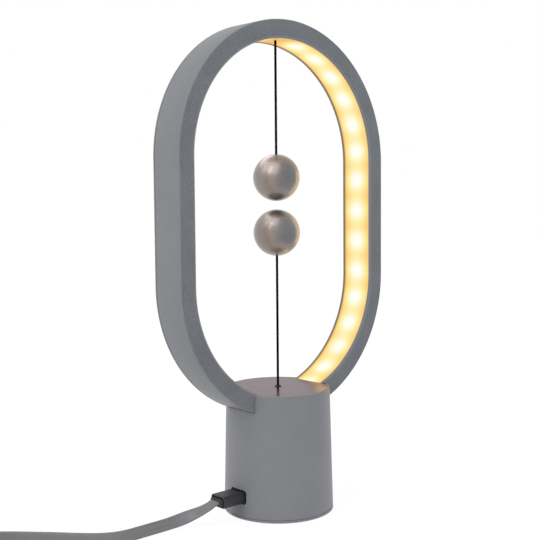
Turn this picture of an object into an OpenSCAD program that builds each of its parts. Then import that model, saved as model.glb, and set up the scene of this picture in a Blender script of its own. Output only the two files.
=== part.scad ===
// Magnetic balance lamp. A tapered round base carries an upright oval ring that is lit
// along its inner side. One ball hangs on a string from the top of the ring and one stands
// on a string from the base, held up by the pull between their magnets. The taut lower
// string closes a switch inside the base, and letting the lower ball down opens it.
// The ring stands in the XZ plane, Z is up, and the origin is under the base's centre.

/* [Base] */
// Outer diameter of the base at the table
base_bottom_d = 57; // [54:0.5:62]
// Outer diameter of the base at its top
base_top_d = 53.8; // [51:0.2:58]
// Height of the base
base_h = 64; // [62:0.5:67]
// Wall of the base shell
shell_wall = 2; // [1.6:0.1:2.6]
// Thickness of the brushed plate in the top
plate_t = 2; // [1.4:0.1:2.4]
// Width of the shell's rim round the brushed plate
plate_rim = 1; // [0.8:0.1:1.6]
// Height of the bottom cover's flange, which shows below the shell
cover_flange_t = 1.2; // [0.8:0.1:2]
// Thickness of the bottom cover's floor
cover_floor_t = 3; // [2.6:0.1:3.6]
// How far the rubber foot stands out below the cover
foot_stand = 0.5; // [0.4:0.1:1]
// How deep the foot is let into the cover
foot_recess = 0.7; // [0.5:0.1:1]

/* [Ring] */
// Overall width of the ring
ring_w = 139; // [132:0.5:146]
// Overall height of the ring
ring_h = 200; // [190:1:215]
// Depth of the ring from front to back
ring_depth = 20.4; // [18:0.2:22]
// How far the ring's lowest point lies below the base's top
ring_sunk = 13.5; // [13:0.1:14]
// Width of the ring's face, from the outer to the inner edge
ring_rim = 9.3; // [8.9:0.1:9.8]
// Outer wall of the ring
outer_wall = 1.6; // [1.2:0.1:2]
// Front wall of the ring
front_wall = 1.2; // [1.1:0.1:1.6]
// Rear wall of the ring
rear_wall = 1.2; // [1:0.1:1.6]
// Width of the bevel on the front wall's inner edge
bevel_w = 1; // [0.8:0.1:2]
// Depth of the bevel on the front wall's inner edge
bevel_depth = 0.6; // [0.4:0.1:0.9]
// Thickness of the opal diffuser
diffuser_t = 1.2; // [1:0.1:1.4]
// How far the diffuser lies back from the walls' inner edges
diffuser_recess = 0.3; // [0.1:0.1:0.5]

/* [Light strip] */
// Width of the light strip
strip_w = 10; // [8:1:12]
// Thickness of the light strip's film
strip_t = 0.4; // [0.3:0.1:0.6]
// Distance from one light to the next
light_pitch = 16.67; // [14:0.01:20]
// Side of a square light
light_size = 5; // [3.5:0.1:5]
// Height of a light above the film
light_h = 1.6; // [1.2:0.1:1.6]
// Place of the strip's middle light, left out for the string, from the top of the ring
light_first = -0.3; // [-1:0.1:1]

/* [Balls and strings] */
// Diameter of each ball
ball_d = 24; // [22:0.5:25]
// Wall of a ball's shells
ball_wall = 1.5; // [1:0.1:2]
// Height of the middle of the gap between the balls
gap_z = 158.1; // [150:0.5:166]
// Gap between the balls
ball_gap = 4.2; // [3:0.1:6]
// Diameter of the strings
string_d = 1.2; // [0.9:0.1:1.4]
// Diameter of a hole that a string passes through
string_hole_d = 1.8; // [1.8:0.1:2]
// Diameter of a knot in a string
knot_d = 2.6; // [2.4:0.1:2.8]
// Diameter of each magnet
magnet_d = 10; // [8:0.5:11]
// Thickness of each magnet
magnet_t = 5; // [3:0.5:5]

/* [Switch] */
// Length of the switch's body
switch_l = 19.8; // [18:0.1:20]
// Width of the switch's body
switch_w = 6.4; // [5.8:0.1:7]
// Height of the switch's body
switch_h = 10.2; // [9:0.1:10.4]
// Thickness of the switch bracket's sheet
bracket_t = 1.5; // [1:0.1:1.6]
// Width of the lever
lever_w = 2.6; // [2.4:0.1:2.8]
// Thickness of the lever
lever_t = 1.5; // [1.2:0.1:1.8]
// Distance from the lever's pivot to the string
lever_arm = 19; // [18.4:0.1:19.6]
// Diameter of the lever's pivot pin
pivot_d = 1.6; // [1.4:0.1:1.8]

/* [Power board] */
// Thickness of the power board
board_t = 1.6; // [1.2:0.1:1.8]
// Height of the power socket's axis above the table
socket_z = 11.7; // [11.4:0.1:12.4]
// Thickness of the counterweight under the board
weight_t = 3.6; // [3:0.1:3.8]

/* [Power lead] */
// Whole length of the power cable
cable_l = 1000; // [800:10:1200]
// Width of the flat cable
cable_w = 6.2; // [6:0.1:6.4]
// Thickness of the flat cable
cable_t = 1.5; // [1.2:0.1:1.6]
// Width of the small plug's grip
plug_w = 10.5; // [10:0.1:11]
// Thickness of the small plug's grip
plug_t = 6; // [4.8:0.1:6.4]
// Length of the small plug's grip
plug_l = 14.6; // [13:0.1:15]
// Distance from one turn of the coiled cable to the next
coil_pitch = 2.4; // [2.3:0.1:2.6]
// Length of the large plug's grip
big_plug_l = 20; // [16:0.5:21]
// Width of the large plug's grip
big_plug_w = 15.6; // [14:0.1:16]
// Thickness of the large plug's grip
big_plug_t = 7.4; // [6.5:0.1:7.6]

/* [Hidden] */
$fn = 96;

// Colours
ring_colour = [0.47, 0.48, 0.50];
base_colour = [0.51, 0.52, 0.54];
plate_colour = [0.58, 0.56, 0.56];
ball_colour = [0.60, 0.57, 0.56];
string_colour = [0.06, 0.06, 0.06];
light_colour = [1, 0.90, 0.60];
board_colour = [0.10, 0.35, 0.18];
steel_colour = [0.72, 0.73, 0.75];
brass_colour = [0.80, 0.65, 0.35];
plug_colour = [0.20, 0.20, 0.22];
cable_colour = [0.53, 0.53, 0.55];

// Clearances, and how far a cut runs past what it cuts
overrun = 1;
seam_gap = 0.2;
fit_gap = 0.15;
slip_gap = 0.1;
seat_gap = 0.05;

// Base
base_bottom_r = base_bottom_d / 2;
base_top_r = base_top_d / 2;
plate_seat_r = base_top_r - plate_rim;
plate_r = plate_seat_r - slip_gap;
plate_z = base_h - plate_t;
ledge_w = 1.4;
ledge_t = 1.2;
rim_bevel = 0.4;
flange_top = foot_stand + cover_flange_t;
shell_z = flange_top + seam_gap;
floor_z = foot_stand + foot_recess + cover_floor_t;
foot_t = foot_stand + foot_recess;
spigot_r = base_r(shell_z) - shell_wall - fit_gap;
boss_r = 3.3;
boss_h = 12;
boss_bite = 0.8;
boss_place_r = min(base_r(floor_z + boss_h), base_r(shell_z)) - shell_wall - boss_r + boss_bite;
boss_count = 3;
function base_r(z) = base_bottom_r + (base_top_r - base_bottom_r) * z / base_h;
function wall_in_r(z) = base_r(z) - shell_wall;

// Screws: shank radius, head radius and head height
cover_screw_r = 1.5;
cover_head_r = 2.8;
cover_head_h = 1.7;
small_screw_r = 0.95;
small_head_r = 1.8;
small_head_h = 1.2;
foot_gap = 1;
foot_r = boss_place_r - cover_head_r - fit_gap - foot_gap;
socket_drive_r = 1;
socket_drive_share = 0.6;
screw_bite = 8;

// Ring
ring_lift = base_h - ring_sunk;
ring_r = ring_w / 2;
ring_in_r = ring_r - ring_rim;
ring_half = ring_h / 2 - ring_r;
ring_z = ring_lift + ring_h / 2;
front_y = -ring_depth / 2;
back_y = ring_depth / 2;
ring_low_z = ring_z - ring_half;
ring_high_z = ring_z + ring_half;
diffuser_in_r = ring_in_r + diffuser_recess;
diffuser_out_r = diffuser_in_r + diffuser_t;
channel_r = ring_r - outer_wall;
lip_h = 1.4;
lip_t = 1.2;
edge_bevel = 0.3;

// Light strip, with its place along the ring measured from the top at the strip's back
strip_r = channel_r - seat_gap;
strip_in_r = strip_r - strip_t;
quarter_l = strip_r * PI / 2;
straight_l = 2 * ring_half;
half_l = 2 * quarter_l + straight_l;
strip_end = 6;
string_room = 4.2;
right_lights = floor((half_l - light_first - strip_end - string_room) / light_pitch) + 1;
left_lights = floor((half_l + light_first - light_pitch - strip_end - string_room) / light_pitch) + 1;
first_light = -left_lights;
last_light = right_lights - 1;
lens_r = 2;
lens_depth = 0.3;
lens_sides = 16;
resistor_l = 2;
resistor_w = 1.25;
resistor_h = 0.5;
lights_per_resistor = 3;
function light_at(i) = light_first + i * light_pitch;
function to_degrees(turn) = turn * 180 / PI;
function ring_angle(s) = sign(s) * (
    abs(s) <= quarter_l ? to_degrees(abs(s) / strip_r)
    : abs(s) <= quarter_l + straight_l ? 90
    : 90 + to_degrees((abs(s) - quarter_l - straight_l) / strip_r));
function ring_middle_z(s) =
    abs(s) <= quarter_l ? ring_high_z
    : abs(s) <= quarter_l + straight_l ? ring_high_z - (abs(s) - quarter_l)
    : ring_low_z;

// Balls and strings
ball_r = ball_d / 2;
ball_in_r = ball_r - ball_wall;
string_r = string_d / 2;
string_hole_r = string_hole_d / 2;
knot_r = knot_d / 2;
upper_z = gap_z + ball_gap / 2 + ball_r;
lower_z = gap_z - ball_gap / 2 - ball_r;
bend_r = 0.65;
bend_gap = 0.15;
diffuser_top_z = ring_high_z + diffuser_in_r;
upper_bend_z = diffuser_top_z - bend_r - seam_gap;
lower_bend_z = base_h + bend_r + seam_gap;
string_in = ball_wall + knot_r;
magnet_r = magnet_d / 2;
magnet_seat = sqrt(pow(ball_in_r, 2) - pow(magnet_r + slip_gap, 2)) - slip_gap;
magnet_cup_t = 1.3;
joint_lip = 1.4;
joint_lip_h = 1.6;
anchor_t = 1.2;
anchor_l = 10;
anchor_z = ring_high_z + diffuser_out_r + seam_gap;
anchor_knot_r = 1.1;
guide_r = 1.45;
guide_h = 4.2;

// Ring clamp, which hangs from two posts of the top plate and holds the ring's foot
post_r = 3.2;
post_gap = 0.5;
post_y = ring_depth / 2 + post_r + post_gap;
post_end_z = ring_lift - 3.1;
clamp_t = 4;
clamp_z = post_end_z - clamp_t;
clamp_half_l = 7;
clamp_wing_l = 5.5;
clamp_rise = 1.4;
clamp_hole_r = 1.5;

// Switch, under the bracket's flange and above its lever
flange_z = clamp_z - bracket_t;
switch_x = -(string_r + 1 + switch_l);
switch_z = flange_z - seam_gap - switch_h;
cheek_y = switch_w / 2 + seam_gap;
plunger_l = 2.9;
plunger_w = 1.5;
plunger_out = 1;
plunger_in = 3;
plunger_x = -9;
switch_hole_r = 1.2;
switch_hole_pitch = 11;
switch_hole_z = switch_z + 2.9;
terminal_l = 3.2;
terminal_w = 0.5;
terminal_h = 4;
terminal_pitch = 7.2;
terminal_slot = 0.6;
terminal_xs = [for (i = [0, 1]) switch_x + switch_l / 2 - i * terminal_pitch];
lever_top_z = switch_z - plunger_out - seat_gap;
lever_mid_z = lever_top_z - lever_t / 2;
lever_eye_r = 1.7;
lever_nose = 3;
pivot_x = -lever_arm;
pivot_r = pivot_d / 2;
cheek_foot_z = lever_mid_z - lever_eye_r - 0.8;
cheek_x = pivot_x - lever_eye_r - 0.9;
pivot_head_r = 1.3;
pivot_head_t = 0.8;
spring_wire_r = 0.2;
spring_r = 1.45;
spring_pitch = 0.6;
spring_turns = 2;
spring_leg = 5;
pull_knot_z = lever_top_z - lever_t - knot_r;

// Power board, its socket and the counterweight
board_top_z = socket_z - 1.35;
board_wall_gap = 2.2;
board_end_gap = 2;
board_share = 0.34;
socket_w = 7.5;
post_side_inset = 2.4;
board_w = max(2 * board_share * wall_in_r(board_top_z),
    socket_w + 2 * (seam_gap + small_head_r + post_side_inset));
board_x = -sqrt(pow(wall_in_r(board_top_z) - board_wall_gap, 2) - pow(board_w / 2, 2));
board_l = -board_x - board_end_gap;
weight_side_gap = 1.5;
weight_top_gap = 6;
weight_r = boss_place_r - boss_r - weight_side_gap;
weight_block_h = pull_knot_z - knot_r - weight_top_gap - floor_z;
post_inset = 3;
board_post_y = board_w / 2 - post_side_inset;
board_post_r = 2.2;
weight_hole_r = 2.8;
socket_h = 2.7;
socket_l = 6.4;
socket_wall = 0.35;
socket_x = -base_r(socket_z) + shell_wall + 0.75;
socket_tongue_l = 4.2;
socket_tongue_w = 3.7;
socket_tongue_t = 0.65;
wire_r = 0.5;

// Small plug: the grip's nose stands in the port, its shell in the socket
port_gap = 0.6;
port_round = 1.6;
nose_in = 1.6;
plug_nose_x = -base_r(socket_z) + nose_in;
plug_tail_x = plug_nose_x - plug_l;
plug_round = 1.4;
collar_l = 1.4;
collar_w = 8.2;
collar_t = 3.4;
shell_w = 6.7;
shell_h = 1.8;
shell_l = 5.6;
shell_skin = 0.3;

// Flat cable: where it leaves the small plug, the points that it follows to the coil, each
// with its turn about its own length (0 lies flat, 90 stands on edge), then the coil
cable_x = plug_tail_x - collar_l;
cable_first = 1.2;
cable_route = [
    [-45.4, 0.1, 10.9, 6], [-48, 0.9, 9.6, 16], [-50.7, 2.6, 8.1, 30], [-54.2, 5.5, 6.2, 49],
    [-58.4, 8.1, 4.5, 70], [-63, 9.7, 3.5, 86], [-69, 10.1, 3.2, 90], [-80, 10, 3.2, 90],
    [-88, 10, 3.2, 90], [-94.5, 11.5, 3.2, 90], [-101, 15.5, 3.2, 90], [-108, 22.5, 3.2, 90],
    [-115, 30.5, 3.2, 90], [-123, 39, 3.2, 90], [-132, 48, 3.2, 90], [-142, 55.8, 3.3, 90],
    [-152, 61.2, 3.6, 90]
];
coil_x = -187;
coil_y = 30;
coil_z = 4;
coil_r = 41;
coil_start = 70;
coil_rings = 24;
tail_r = 14;
tail_steps = 8;
edge_share = 0.42;
tip_share = 0.5;
coil_start_point = [coil_x + coil_r * cos(coil_start), coil_y + coil_r * sin(coil_start), coil_z];
coil_heading = [-sin(coil_start), cos(coil_start), 0];
cable_points = concat(
    [[cable_x, 0, socket_z, 0], [cable_x - cable_first, 0, socket_z, 0]],
    cable_route,
    [for (step = [2, 1]) [for (k = [0:3]) k < 3
        ? coil_start_point[k] - step * cable_w * coil_heading[k] : 90]]);
cable_steps = 2;
cable_last = len(cable_points) - 1;
cable_path = concat(
    [for (i = [0:cable_last - 1]) for (k = [0:cable_steps - 1])
        curve(cable_points[max(i - 1, 0)], cable_points[i], cable_points[i + 1],
            cable_points[min(i + 2, cable_last)], k / cable_steps)],
    [cable_points[cable_last]]);
function curve(a, b, c, d, t) = (2 * b + (c - a) * t + (2 * a - 5 * b + 4 * c - d) * pow(t, 2)
    + (3 * b - a - 3 * c + d) * pow(t, 3)) / 2;
free_l = path_l(cable_path);
tail_l = tail_r * PI / 2 + cable_w;
wound_l = cable_l - free_l - cable_w - tail_l;
coil_turns = (coil_r - sqrt(pow(coil_r, 2) - wound_l * coil_pitch / PI)) / coil_pitch;
coil_steps = round(coil_turns * coil_rings);
coil_end = coil_start + 360 * coil_turns;
coil_in_r = coil_r - coil_pitch * coil_turns;
function coil_point(r, a) = [coil_x + r * cos(a), coil_y + r * sin(a), coil_z];
turn_points = [for (i = [0:coil_steps])
    concat(coil_point(coil_r - coil_pitch * coil_turns * i / coil_steps,
        coil_start + 360 * coil_turns * i / coil_steps), [90])];
tail_middle = coil_point(coil_in_r - tail_r, coil_end);
tail_points = [for (i = [1:tail_steps]) let (a = coil_end + 90 * i / tail_steps)
    [tail_middle[0] + tail_r * cos(a), tail_middle[1] + tail_r * sin(a), coil_z,
        90 * (1 - i / tail_steps)]];
tail_out = [-cos(coil_end), -sin(coil_end), 0];
tail_end = [for (k = [0:2]) tail_points[tail_steps - 1][k] + cable_w * tail_out[k]];
coil_lead = [for (k = [0:3]) k < 3 ? coil_start_point[k] - cable_w * coil_heading[k] : 90];
coil_path = concat([coil_lead], turn_points, tail_points, [concat(tail_end, [0])]);
function path_l(points) = len(points) < 2 ? 0
    : sum([for (i = [1:len(points) - 1]) norm(xyz(points[i]) - xyz(points[i - 1]))]);
function sum(list) = list * [for (i = list) 1];
function xyz(p) = [p[0], p[1], p[2]];
coil_gap = min([for (i = [0:coil_steps - coil_rings / 2])
    min([for (j = [i + coil_rings / 2:coil_steps])
        norm(xyz(turn_points[i]) - xyz(turn_points[j]))])]) - cable_t;
echo(cable_length = free_l + path_l(coil_path), coil_turns = coil_turns, coil_gap = coil_gap,
    coil_inner_radius = coil_in_r, cable_rings = len(cable_path) + len(coil_path));

// Tie round the coil, and the large plug inside it
tie_t = 0.6;
tie_w = 9;
tie_gap = 0.25;
tie_side_gap = 0.6;
turn_share = coil_turns - floor(coil_turns);
tie_turn = 360 * (turn_share < tip_share ? turn_share + tip_share : turn_share - tip_share);
tie_out_r = coil_r - coil_pitch * tie_turn / 360;
tie_in_r = tie_out_r - coil_pitch * floor(coil_turns - tie_turn / 360);
big_collar_l = 3;
big_collar_w = 9;
big_collar_t = 4;
big_round = 2.4;
big_shell_l = 12;
big_shell_w = 12;
big_shell_h = 4.5;
big_shell_skin = 0.3;
big_tongue_w = 11;
big_tongue_t = 1.9;
big_tongue_l = 9;

// A flat outline with rounded corners, about the origin
module rounded_rect(w, h, r) {
    square([w - 2 * r, h], center = true);
    square([w, h - 2 * r], center = true);
    for (x = [-1, 1], y = [-1, 1])
        translate([x * (w / 2 - r), y * (h / 2 - r)])
            circle(r);
}

// A rounded bar along X from x0 to x1
module x_bar(x0, x1, w, h, r) {
    translate([x0, 0, 0])
        rotate([90, 0, 90])
            linear_extrude(x1 - x0)
                rounded_rect(w, h, r);
}

// An outline given by [radius, Y] points, carried once round the oval
module ring_sweep(points) {
    outline = [for (p = points) [p[0], -p[1]]];
    translate([0, 0, ring_low_z]) {
        for (up = [0, 1])
            translate([0, 0, up * 2 * ring_half])
                rotate([90, 0, 0])
                    rotate([0, 0, up ? 0 : 180])
                        rotate_extrude(angle = 180)
                            polygon(outline);
        for (side = [0, 1])
            mirror([side, 0, 0])
                linear_extrude(2 * ring_half)
                    polygon(points);
    }
}

// The filled oval of the ring, grown by a gap, from front to back past both faces
module ring_block(r, y0, y1) {
    translate([0, y1, ring_z])
        rotate([90, 0, 0])
            linear_extrude(y1 - y0) {
                for (up = [-1, 1])
                    translate([0, up * ring_half])
                        circle(r);
                square([2 * r, 2 * ring_half], center = true);
            }
}

// Puts a child on the light strip's back at a length from the top, with +Z outwards
module on_strip(s) {
    a = ring_angle(s);
    translate([strip_r * sin(a), 0, ring_middle_z(s) + strip_r * cos(a)])
        rotate([0, a, 0])
            children();
}

// A closed tube through rings of points, all with the same number of points
module skin(rings) {
    n = len(rings[0]);
    last = len(rings) - 1;
    points = [for (ring = rings) for (p = ring) p];
    sides = [for (i = [0:last - 1]) for (k = [0:n - 1]) for (half = [0, 1])
        let (a = i * n + k, b = i * n + (k + 1) % n)
            half ? [a, b + n, a + n] : [a, b, b + n]];
    start = [for (k = [1:n - 2]) [0, k + 1, k]];
    finish = [for (k = [1:n - 2]) [last * n, last * n + k, last * n + k + 1]];
    polyhedron(points, concat(sides, start, finish));
}

function unit(v) = v / norm(v);
function heading(path, i) = unit(xyz(path[min(i + 1, len(path) - 1)]) - xyz(path[max(i - 1, 0)]));

// Rings of a flat cable: each path point holds X, Y, Z and the turn about its length
function ribbon_rings(path, outline) = [for (i = [0:len(path) - 1])
    let (d = heading(path, i), h = unit(cross(d, [0, 0, 1])), v = cross(h, d), a = path[i][3])
    [for (q = outline) xyz(path[i])
        + (q[0] * cos(a) - q[1] * sin(a)) * h + (q[0] * sin(a) + q[1] * cos(a)) * v]];

// Rings of a round wire that never runs along the direction beside
function wire_rings(path, r, sides, beside) = [for (i = [0:len(path) - 1])
    let (d = heading(path, i), h = unit(cross(d, beside)), v = cross(h, d))
    [for (k = [0:sides - 1]) path[i] + r * cos(360 * k / sides) * h + r * sin(360 * k / sides) * v]];

ribbon_outline = [
    [cable_w / 2, cable_t * (tip_share - edge_share)], [cable_w * edge_share, cable_t / 2],
    [-cable_w * edge_share, cable_t / 2], [-cable_w / 2, cable_t * (tip_share - edge_share)],
    [-cable_w / 2, -cable_t * (tip_share - edge_share)], [-cable_w * edge_share, -cable_t / 2],
    [cable_w * edge_share, -cable_t / 2], [cable_w / 2, -cable_t * (tip_share - edge_share)]
];
coil_outline = [
    [cable_w / 2, 0], [cable_w * edge_share, cable_t / 2], [-cable_w * edge_share, cable_t / 2],
    [-cable_w / 2, 0], [-cable_w * edge_share, -cable_t / 2], [cable_w * edge_share, -cable_t / 2]
];

// A pan-head screw pointing up, its head below z = 0
module screw_up(r, head_r, head_h, l) {
    difference() {
        union() {
            cylinder(r = r, h = l);
            translate([0, 0, -head_h])
                cylinder(r = head_r, h = head_h);
        }
        translate([0, 0, -head_h - overrun])
            cylinder(r = socket_drive_r, h = overrun + head_h * socket_drive_share, $fn = 6);
    }
}

module at_bosses() {
    for (i = [0:boss_count - 1])
        rotate([0, 0, 360 * i / boss_count])
            translate([boss_place_r, 0, 0])
                children();
}

module at_board_posts() {
    for (x = [board_x + post_inset, board_x + board_l - post_inset], y = [-1, 1])
        translate([x, y * board_post_y, 0])
            children();
}

module at_clamp_posts() {
    for (y = [-1, 1])
        translate([0, y * post_y, 0])
            children();
}

module foot_pad() {
    color(string_colour)
        cylinder(r = foot_r - slip_gap, h = foot_t);
}

module bottom_cover() {
    color(base_colour)
        difference() {
            union() {
                translate([0, 0, foot_stand])
                    cylinder(r1 = base_r(foot_stand), r2 = base_r(flange_top), h = cover_flange_t);
                translate([0, 0, foot_stand])
                    cylinder(r = spigot_r, h = floor_z - foot_stand);
                at_board_posts()
                    translate([0, 0, floor_z - overrun])
                        cylinder(r = board_post_r, h = board_top_z - board_t - floor_z + overrun);
            }
            translate([0, 0, -overrun])
                cylinder(r = foot_r, h = foot_t + overrun);
            at_bosses() {
                translate([0, 0, foot_stand])
                    cylinder(r = cover_screw_r + fit_gap, h = floor_z);
                translate([0, 0, -overrun])
                    cylinder(r = cover_head_r + fit_gap, h = foot_t + cover_head_h + overrun);
            }
            at_board_posts()
                translate([0, 0, floor_z])
                    cylinder(r = small_screw_r + seat_gap, h = board_top_z);
        }
}

module cover_screws() {
    color(steel_colour)
        at_bosses()
            translate([0, 0, foot_t + cover_head_h])
                screw_up(cover_screw_r, cover_head_r, cover_head_h - seat_gap, screw_bite);
}

module counterweight() {
    color(steel_colour)
        difference() {
            union() {
                translate([0, 0, floor_z])
                    cylinder(r = weight_r, h = weight_t);
                translate([0, 0, floor_z])
                    intersection() {
                        cylinder(r = weight_r, h = weight_block_h);
                        translate([0, -weight_r, 0])
                            cube([weight_r, 2 * weight_r, weight_block_h]);
                    }
            }
            at_board_posts()
                translate([0, 0, floor_z - overrun])
                    cylinder(r = weight_hole_r, h = weight_t + 2 * overrun);
        }
}

module base_shell() {
    ledge_z = plate_z - ledge_t;
    ledge_foot_z = ledge_z - ledge_w;
    ledge_r = wall_in_r(base_h) - ledge_w;
    color(base_colour)
        difference() {
            union() {
                rotate_extrude()
                    polygon([
                        [base_r(shell_z), shell_z], [base_r(base_h - rim_bevel), base_h - rim_bevel],
                        [base_top_r - rim_bevel, base_h], [plate_seat_r, base_h],
                        [plate_seat_r, plate_z], [ledge_r, plate_z], [ledge_r, ledge_z],
                        [wall_in_r(ledge_foot_z), ledge_foot_z], [wall_in_r(shell_z), shell_z]
                    ]);
                at_bosses()
                    translate([0, 0, floor_z + seat_gap])
                        cylinder(r = boss_r, h = boss_h);
            }
            ring_block(ring_r + fit_gap, front_y - fit_gap, back_y + fit_gap);
            at_bosses()
                translate([0, 0, floor_z - overrun])
                    cylinder(r = cover_screw_r + seat_gap, h = screw_bite + 2 * overrun);
            translate([0, 0, socket_z])
                x_bar(-base_r(0) - overrun, -wall_in_r(0) + shell_wall, plug_w + 2 * port_gap,
                    plug_t + 2 * port_gap, port_round);
        }
}

module base_top_plate() {
    color(plate_colour)
        difference() {
            union() {
                translate([0, 0, plate_z])
                    cylinder(r = plate_r, h = plate_t);
                at_clamp_posts()
                    translate([0, 0, post_end_z])
                        cylinder(r = post_r, h = base_h - plate_t / 2 - post_end_z);
            }
            difference() {
                ring_block(ring_r + fit_gap, front_y - fit_gap, back_y + fit_gap);
                ring_block(ring_in_r - fit_gap, front_y - overrun, back_y + overrun);
            }
            translate([0, 0, plate_z - overrun])
                cylinder(r = guide_r + seat_gap, h = plate_t + 2 * overrun);
            at_clamp_posts()
                translate([0, 0, post_end_z - overrun])
                    cylinder(r = cover_screw_r + seat_gap, h = screw_bite + 2 * overrun);
        }
}

module string_guide() {
    color(string_colour)
        translate([0, 0, base_h - guide_h])
            difference() {
                cylinder(r = guide_r, h = guide_h);
                translate([0, 0, -overrun])
                    cylinder(r = string_hole_r, h = guide_h + 2 * overrun);
            }
}

module ring_clamp() {
    saddle_half_w = post_y - post_r - seam_gap;
    color(base_colour)
        difference() {
            union() {
                translate([-clamp_wing_l, -post_y - post_r, clamp_z])
                    cube([2 * clamp_wing_l, 2 * (post_y + post_r), clamp_t]);
                translate([-clamp_half_l, -saddle_half_w, clamp_z])
                    cube([2 * clamp_half_l, 2 * saddle_half_w, ring_lift + clamp_rise - clamp_z]);
            }
            ring_block(ring_r + seat_gap, -saddle_half_w - overrun, saddle_half_w + overrun);
            translate([0, 0, clamp_z - overrun])
                cylinder(r = clamp_hole_r, h = ring_lift);
            at_clamp_posts()
                translate([0, 0, clamp_z - overrun])
                    cylinder(r = cover_screw_r + fit_gap, h = clamp_t + 2 * overrun);
        }
}

module clamp_screws() {
    color(steel_colour)
        at_clamp_posts()
            translate([0, 0, flange_z])
                screw_up(cover_screw_r, cover_head_r, cover_head_h, bracket_t + clamp_t + screw_bite);
}

module switch_bracket() {
    cheek_l = switch_x + switch_l - cheek_x;
    color(steel_colour)
        difference() {
            union() {
                translate([-clamp_wing_l, -post_y - post_r, flange_z])
                    cube([2 * clamp_wing_l, 2 * (post_y + post_r), bracket_t]);
                translate([cheek_x, -cheek_y - bracket_t, flange_z])
                    cube([clamp_wing_l - cheek_x, 2 * (cheek_y + bracket_t), bracket_t]);
                for (y = [-cheek_y - bracket_t, cheek_y])
                    translate([cheek_x, y, cheek_foot_z])
                        cube([cheek_l, bracket_t, flange_z + bracket_t - cheek_foot_z]);
            }
            translate([0, 0, flange_z - overrun])
                cylinder(r = clamp_hole_r, h = bracket_t + 2 * overrun);
            at_clamp_posts()
                translate([0, 0, flange_z - overrun])
                    cylinder(r = cover_screw_r + fit_gap, h = bracket_t + 2 * overrun);
            at_terminals()
                translate([-terminal_slot, -terminal_slot, flange_z - overrun])
                    cube([terminal_l + 2 * terminal_slot, terminal_w + 2 * terminal_slot,
                        bracket_t + 2 * overrun]);
            across(cheek_y + bracket_t + overrun) {
                at_pivot()
                    circle(pivot_r + seat_gap);
                at_switch_holes()
                    circle(small_screw_r + fit_gap);
            }
        }
}

// An outline in X and Z, carried along Y as far on both sides
module across(half_w) {
    translate([0, half_w, 0])
        rotate([90, 0, 0])
            linear_extrude(2 * half_w)
                children();
}

module at_pivot() {
    translate([pivot_x, lever_mid_z])
        children();
}

module at_switch_holes() {
    for (side = [-1, 1])
        translate([switch_x + switch_l / 2 + side * switch_hole_pitch / 2, switch_hole_z])
            children();
}

module at_terminals() {
    for (x = terminal_xs)
        translate([x - terminal_l / 2, -terminal_w / 2, 0])
            children();
}

module switch_body() {
    color([0.12, 0.12, 0.13])
        difference() {
            translate([switch_x, -switch_w / 2, switch_z])
                cube([switch_l, switch_w, switch_h]);
            across(switch_w)
                at_switch_holes()
                    circle(switch_hole_r);
            translate([plunger_x - plunger_l / 2 - slip_gap, -plunger_w / 2 - slip_gap, switch_z - overrun])
                cube([plunger_l + 2 * slip_gap, plunger_w + 2 * slip_gap, plunger_in + slip_gap + overrun]);
        }
}

module switch_terminals() {
    color(brass_colour)
        at_terminals()
            translate([0, 0, switch_z + switch_h])
                cube([terminal_l, terminal_w, terminal_h]);
}

module switch_screws() {
    reach = cheek_y + bracket_t;
    color(steel_colour)
        translate([0, reach, 0])
            rotate([90, 0, 0])
                at_switch_holes()
                    screw_up(small_screw_r, small_head_r, small_head_h, 2 * reach + small_head_h);
}

module switch_plunger() {
    color([0.75, 0.20, 0.15])
        translate([plunger_x - plunger_l / 2, -plunger_w / 2, switch_z - plunger_out])
            cube([plunger_l, plunger_w, plunger_out + plunger_in - seam_gap]);
}

module switch_lever() {
    color(brass_colour)
        difference() {
            union() {
                translate([pivot_x, -lever_w / 2, lever_top_z - lever_t])
                    cube([lever_arm + lever_nose, lever_w, lever_t]);
                across(lever_w / 2)
                    at_pivot()
                        circle(lever_eye_r);
            }
            across(lever_w)
                at_pivot()
                    circle(pivot_r + seat_gap);
            translate([0, 0, lever_top_z - lever_t - overrun])
                cylinder(r = string_hole_r, h = lever_t + 2 * overrun);
        }
}

module lever_pivot() {
    reach = cheek_y + bracket_t;
    color(steel_colour) {
        across(reach + overrun / 2)
            at_pivot()
                circle(pivot_r);
        for (y = [-reach, reach + pivot_head_t])
            translate([0, y, 0])
                rotate([90, 0, 0])
                    linear_extrude(pivot_head_t)
                        at_pivot()
                            circle(pivot_head_r);
    }
}

module lever_spring() {
    steps = 10;
    y0 = lever_w / 2 + seam_gap + spring_wire_r;
    turns = [for (i = [0:spring_turns * steps]) let (a = 90 - 360 * i / steps)
        [pivot_x + spring_r * cos(a), y0 + spring_pitch * i / steps, lever_mid_z + spring_r * sin(a)]];
    first = [pivot_x + spring_leg, lever_w / 2 - spring_wire_r, lever_top_z + spring_wire_r + seat_gap];
    last = turns[len(turns) - 1] + [spring_leg, 0, 0];
    color(steel_colour)
        skin(wire_rings(concat([first], turns, [last]), spring_wire_r, 6, [0, 1, 0]));
}

module pull_string() {
    color(string_colour)
        union() {
            translate([0, 0, pull_knot_z])
                cylinder(r = string_r, h = base_h - slip_gap - pull_knot_z);
            translate([0, 0, pull_knot_z])
                sphere(knot_r);
        }
}

module power_board() {
    color(board_colour)
        difference() {
            translate([board_x, -board_w / 2, board_top_z - board_t])
                cube([board_l, board_w, board_t]);
            at_board_posts()
                translate([0, 0, board_top_z - board_t - overrun])
                    cylinder(r = small_screw_r + fit_gap, h = board_t + 2 * overrun);
        }
}

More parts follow.
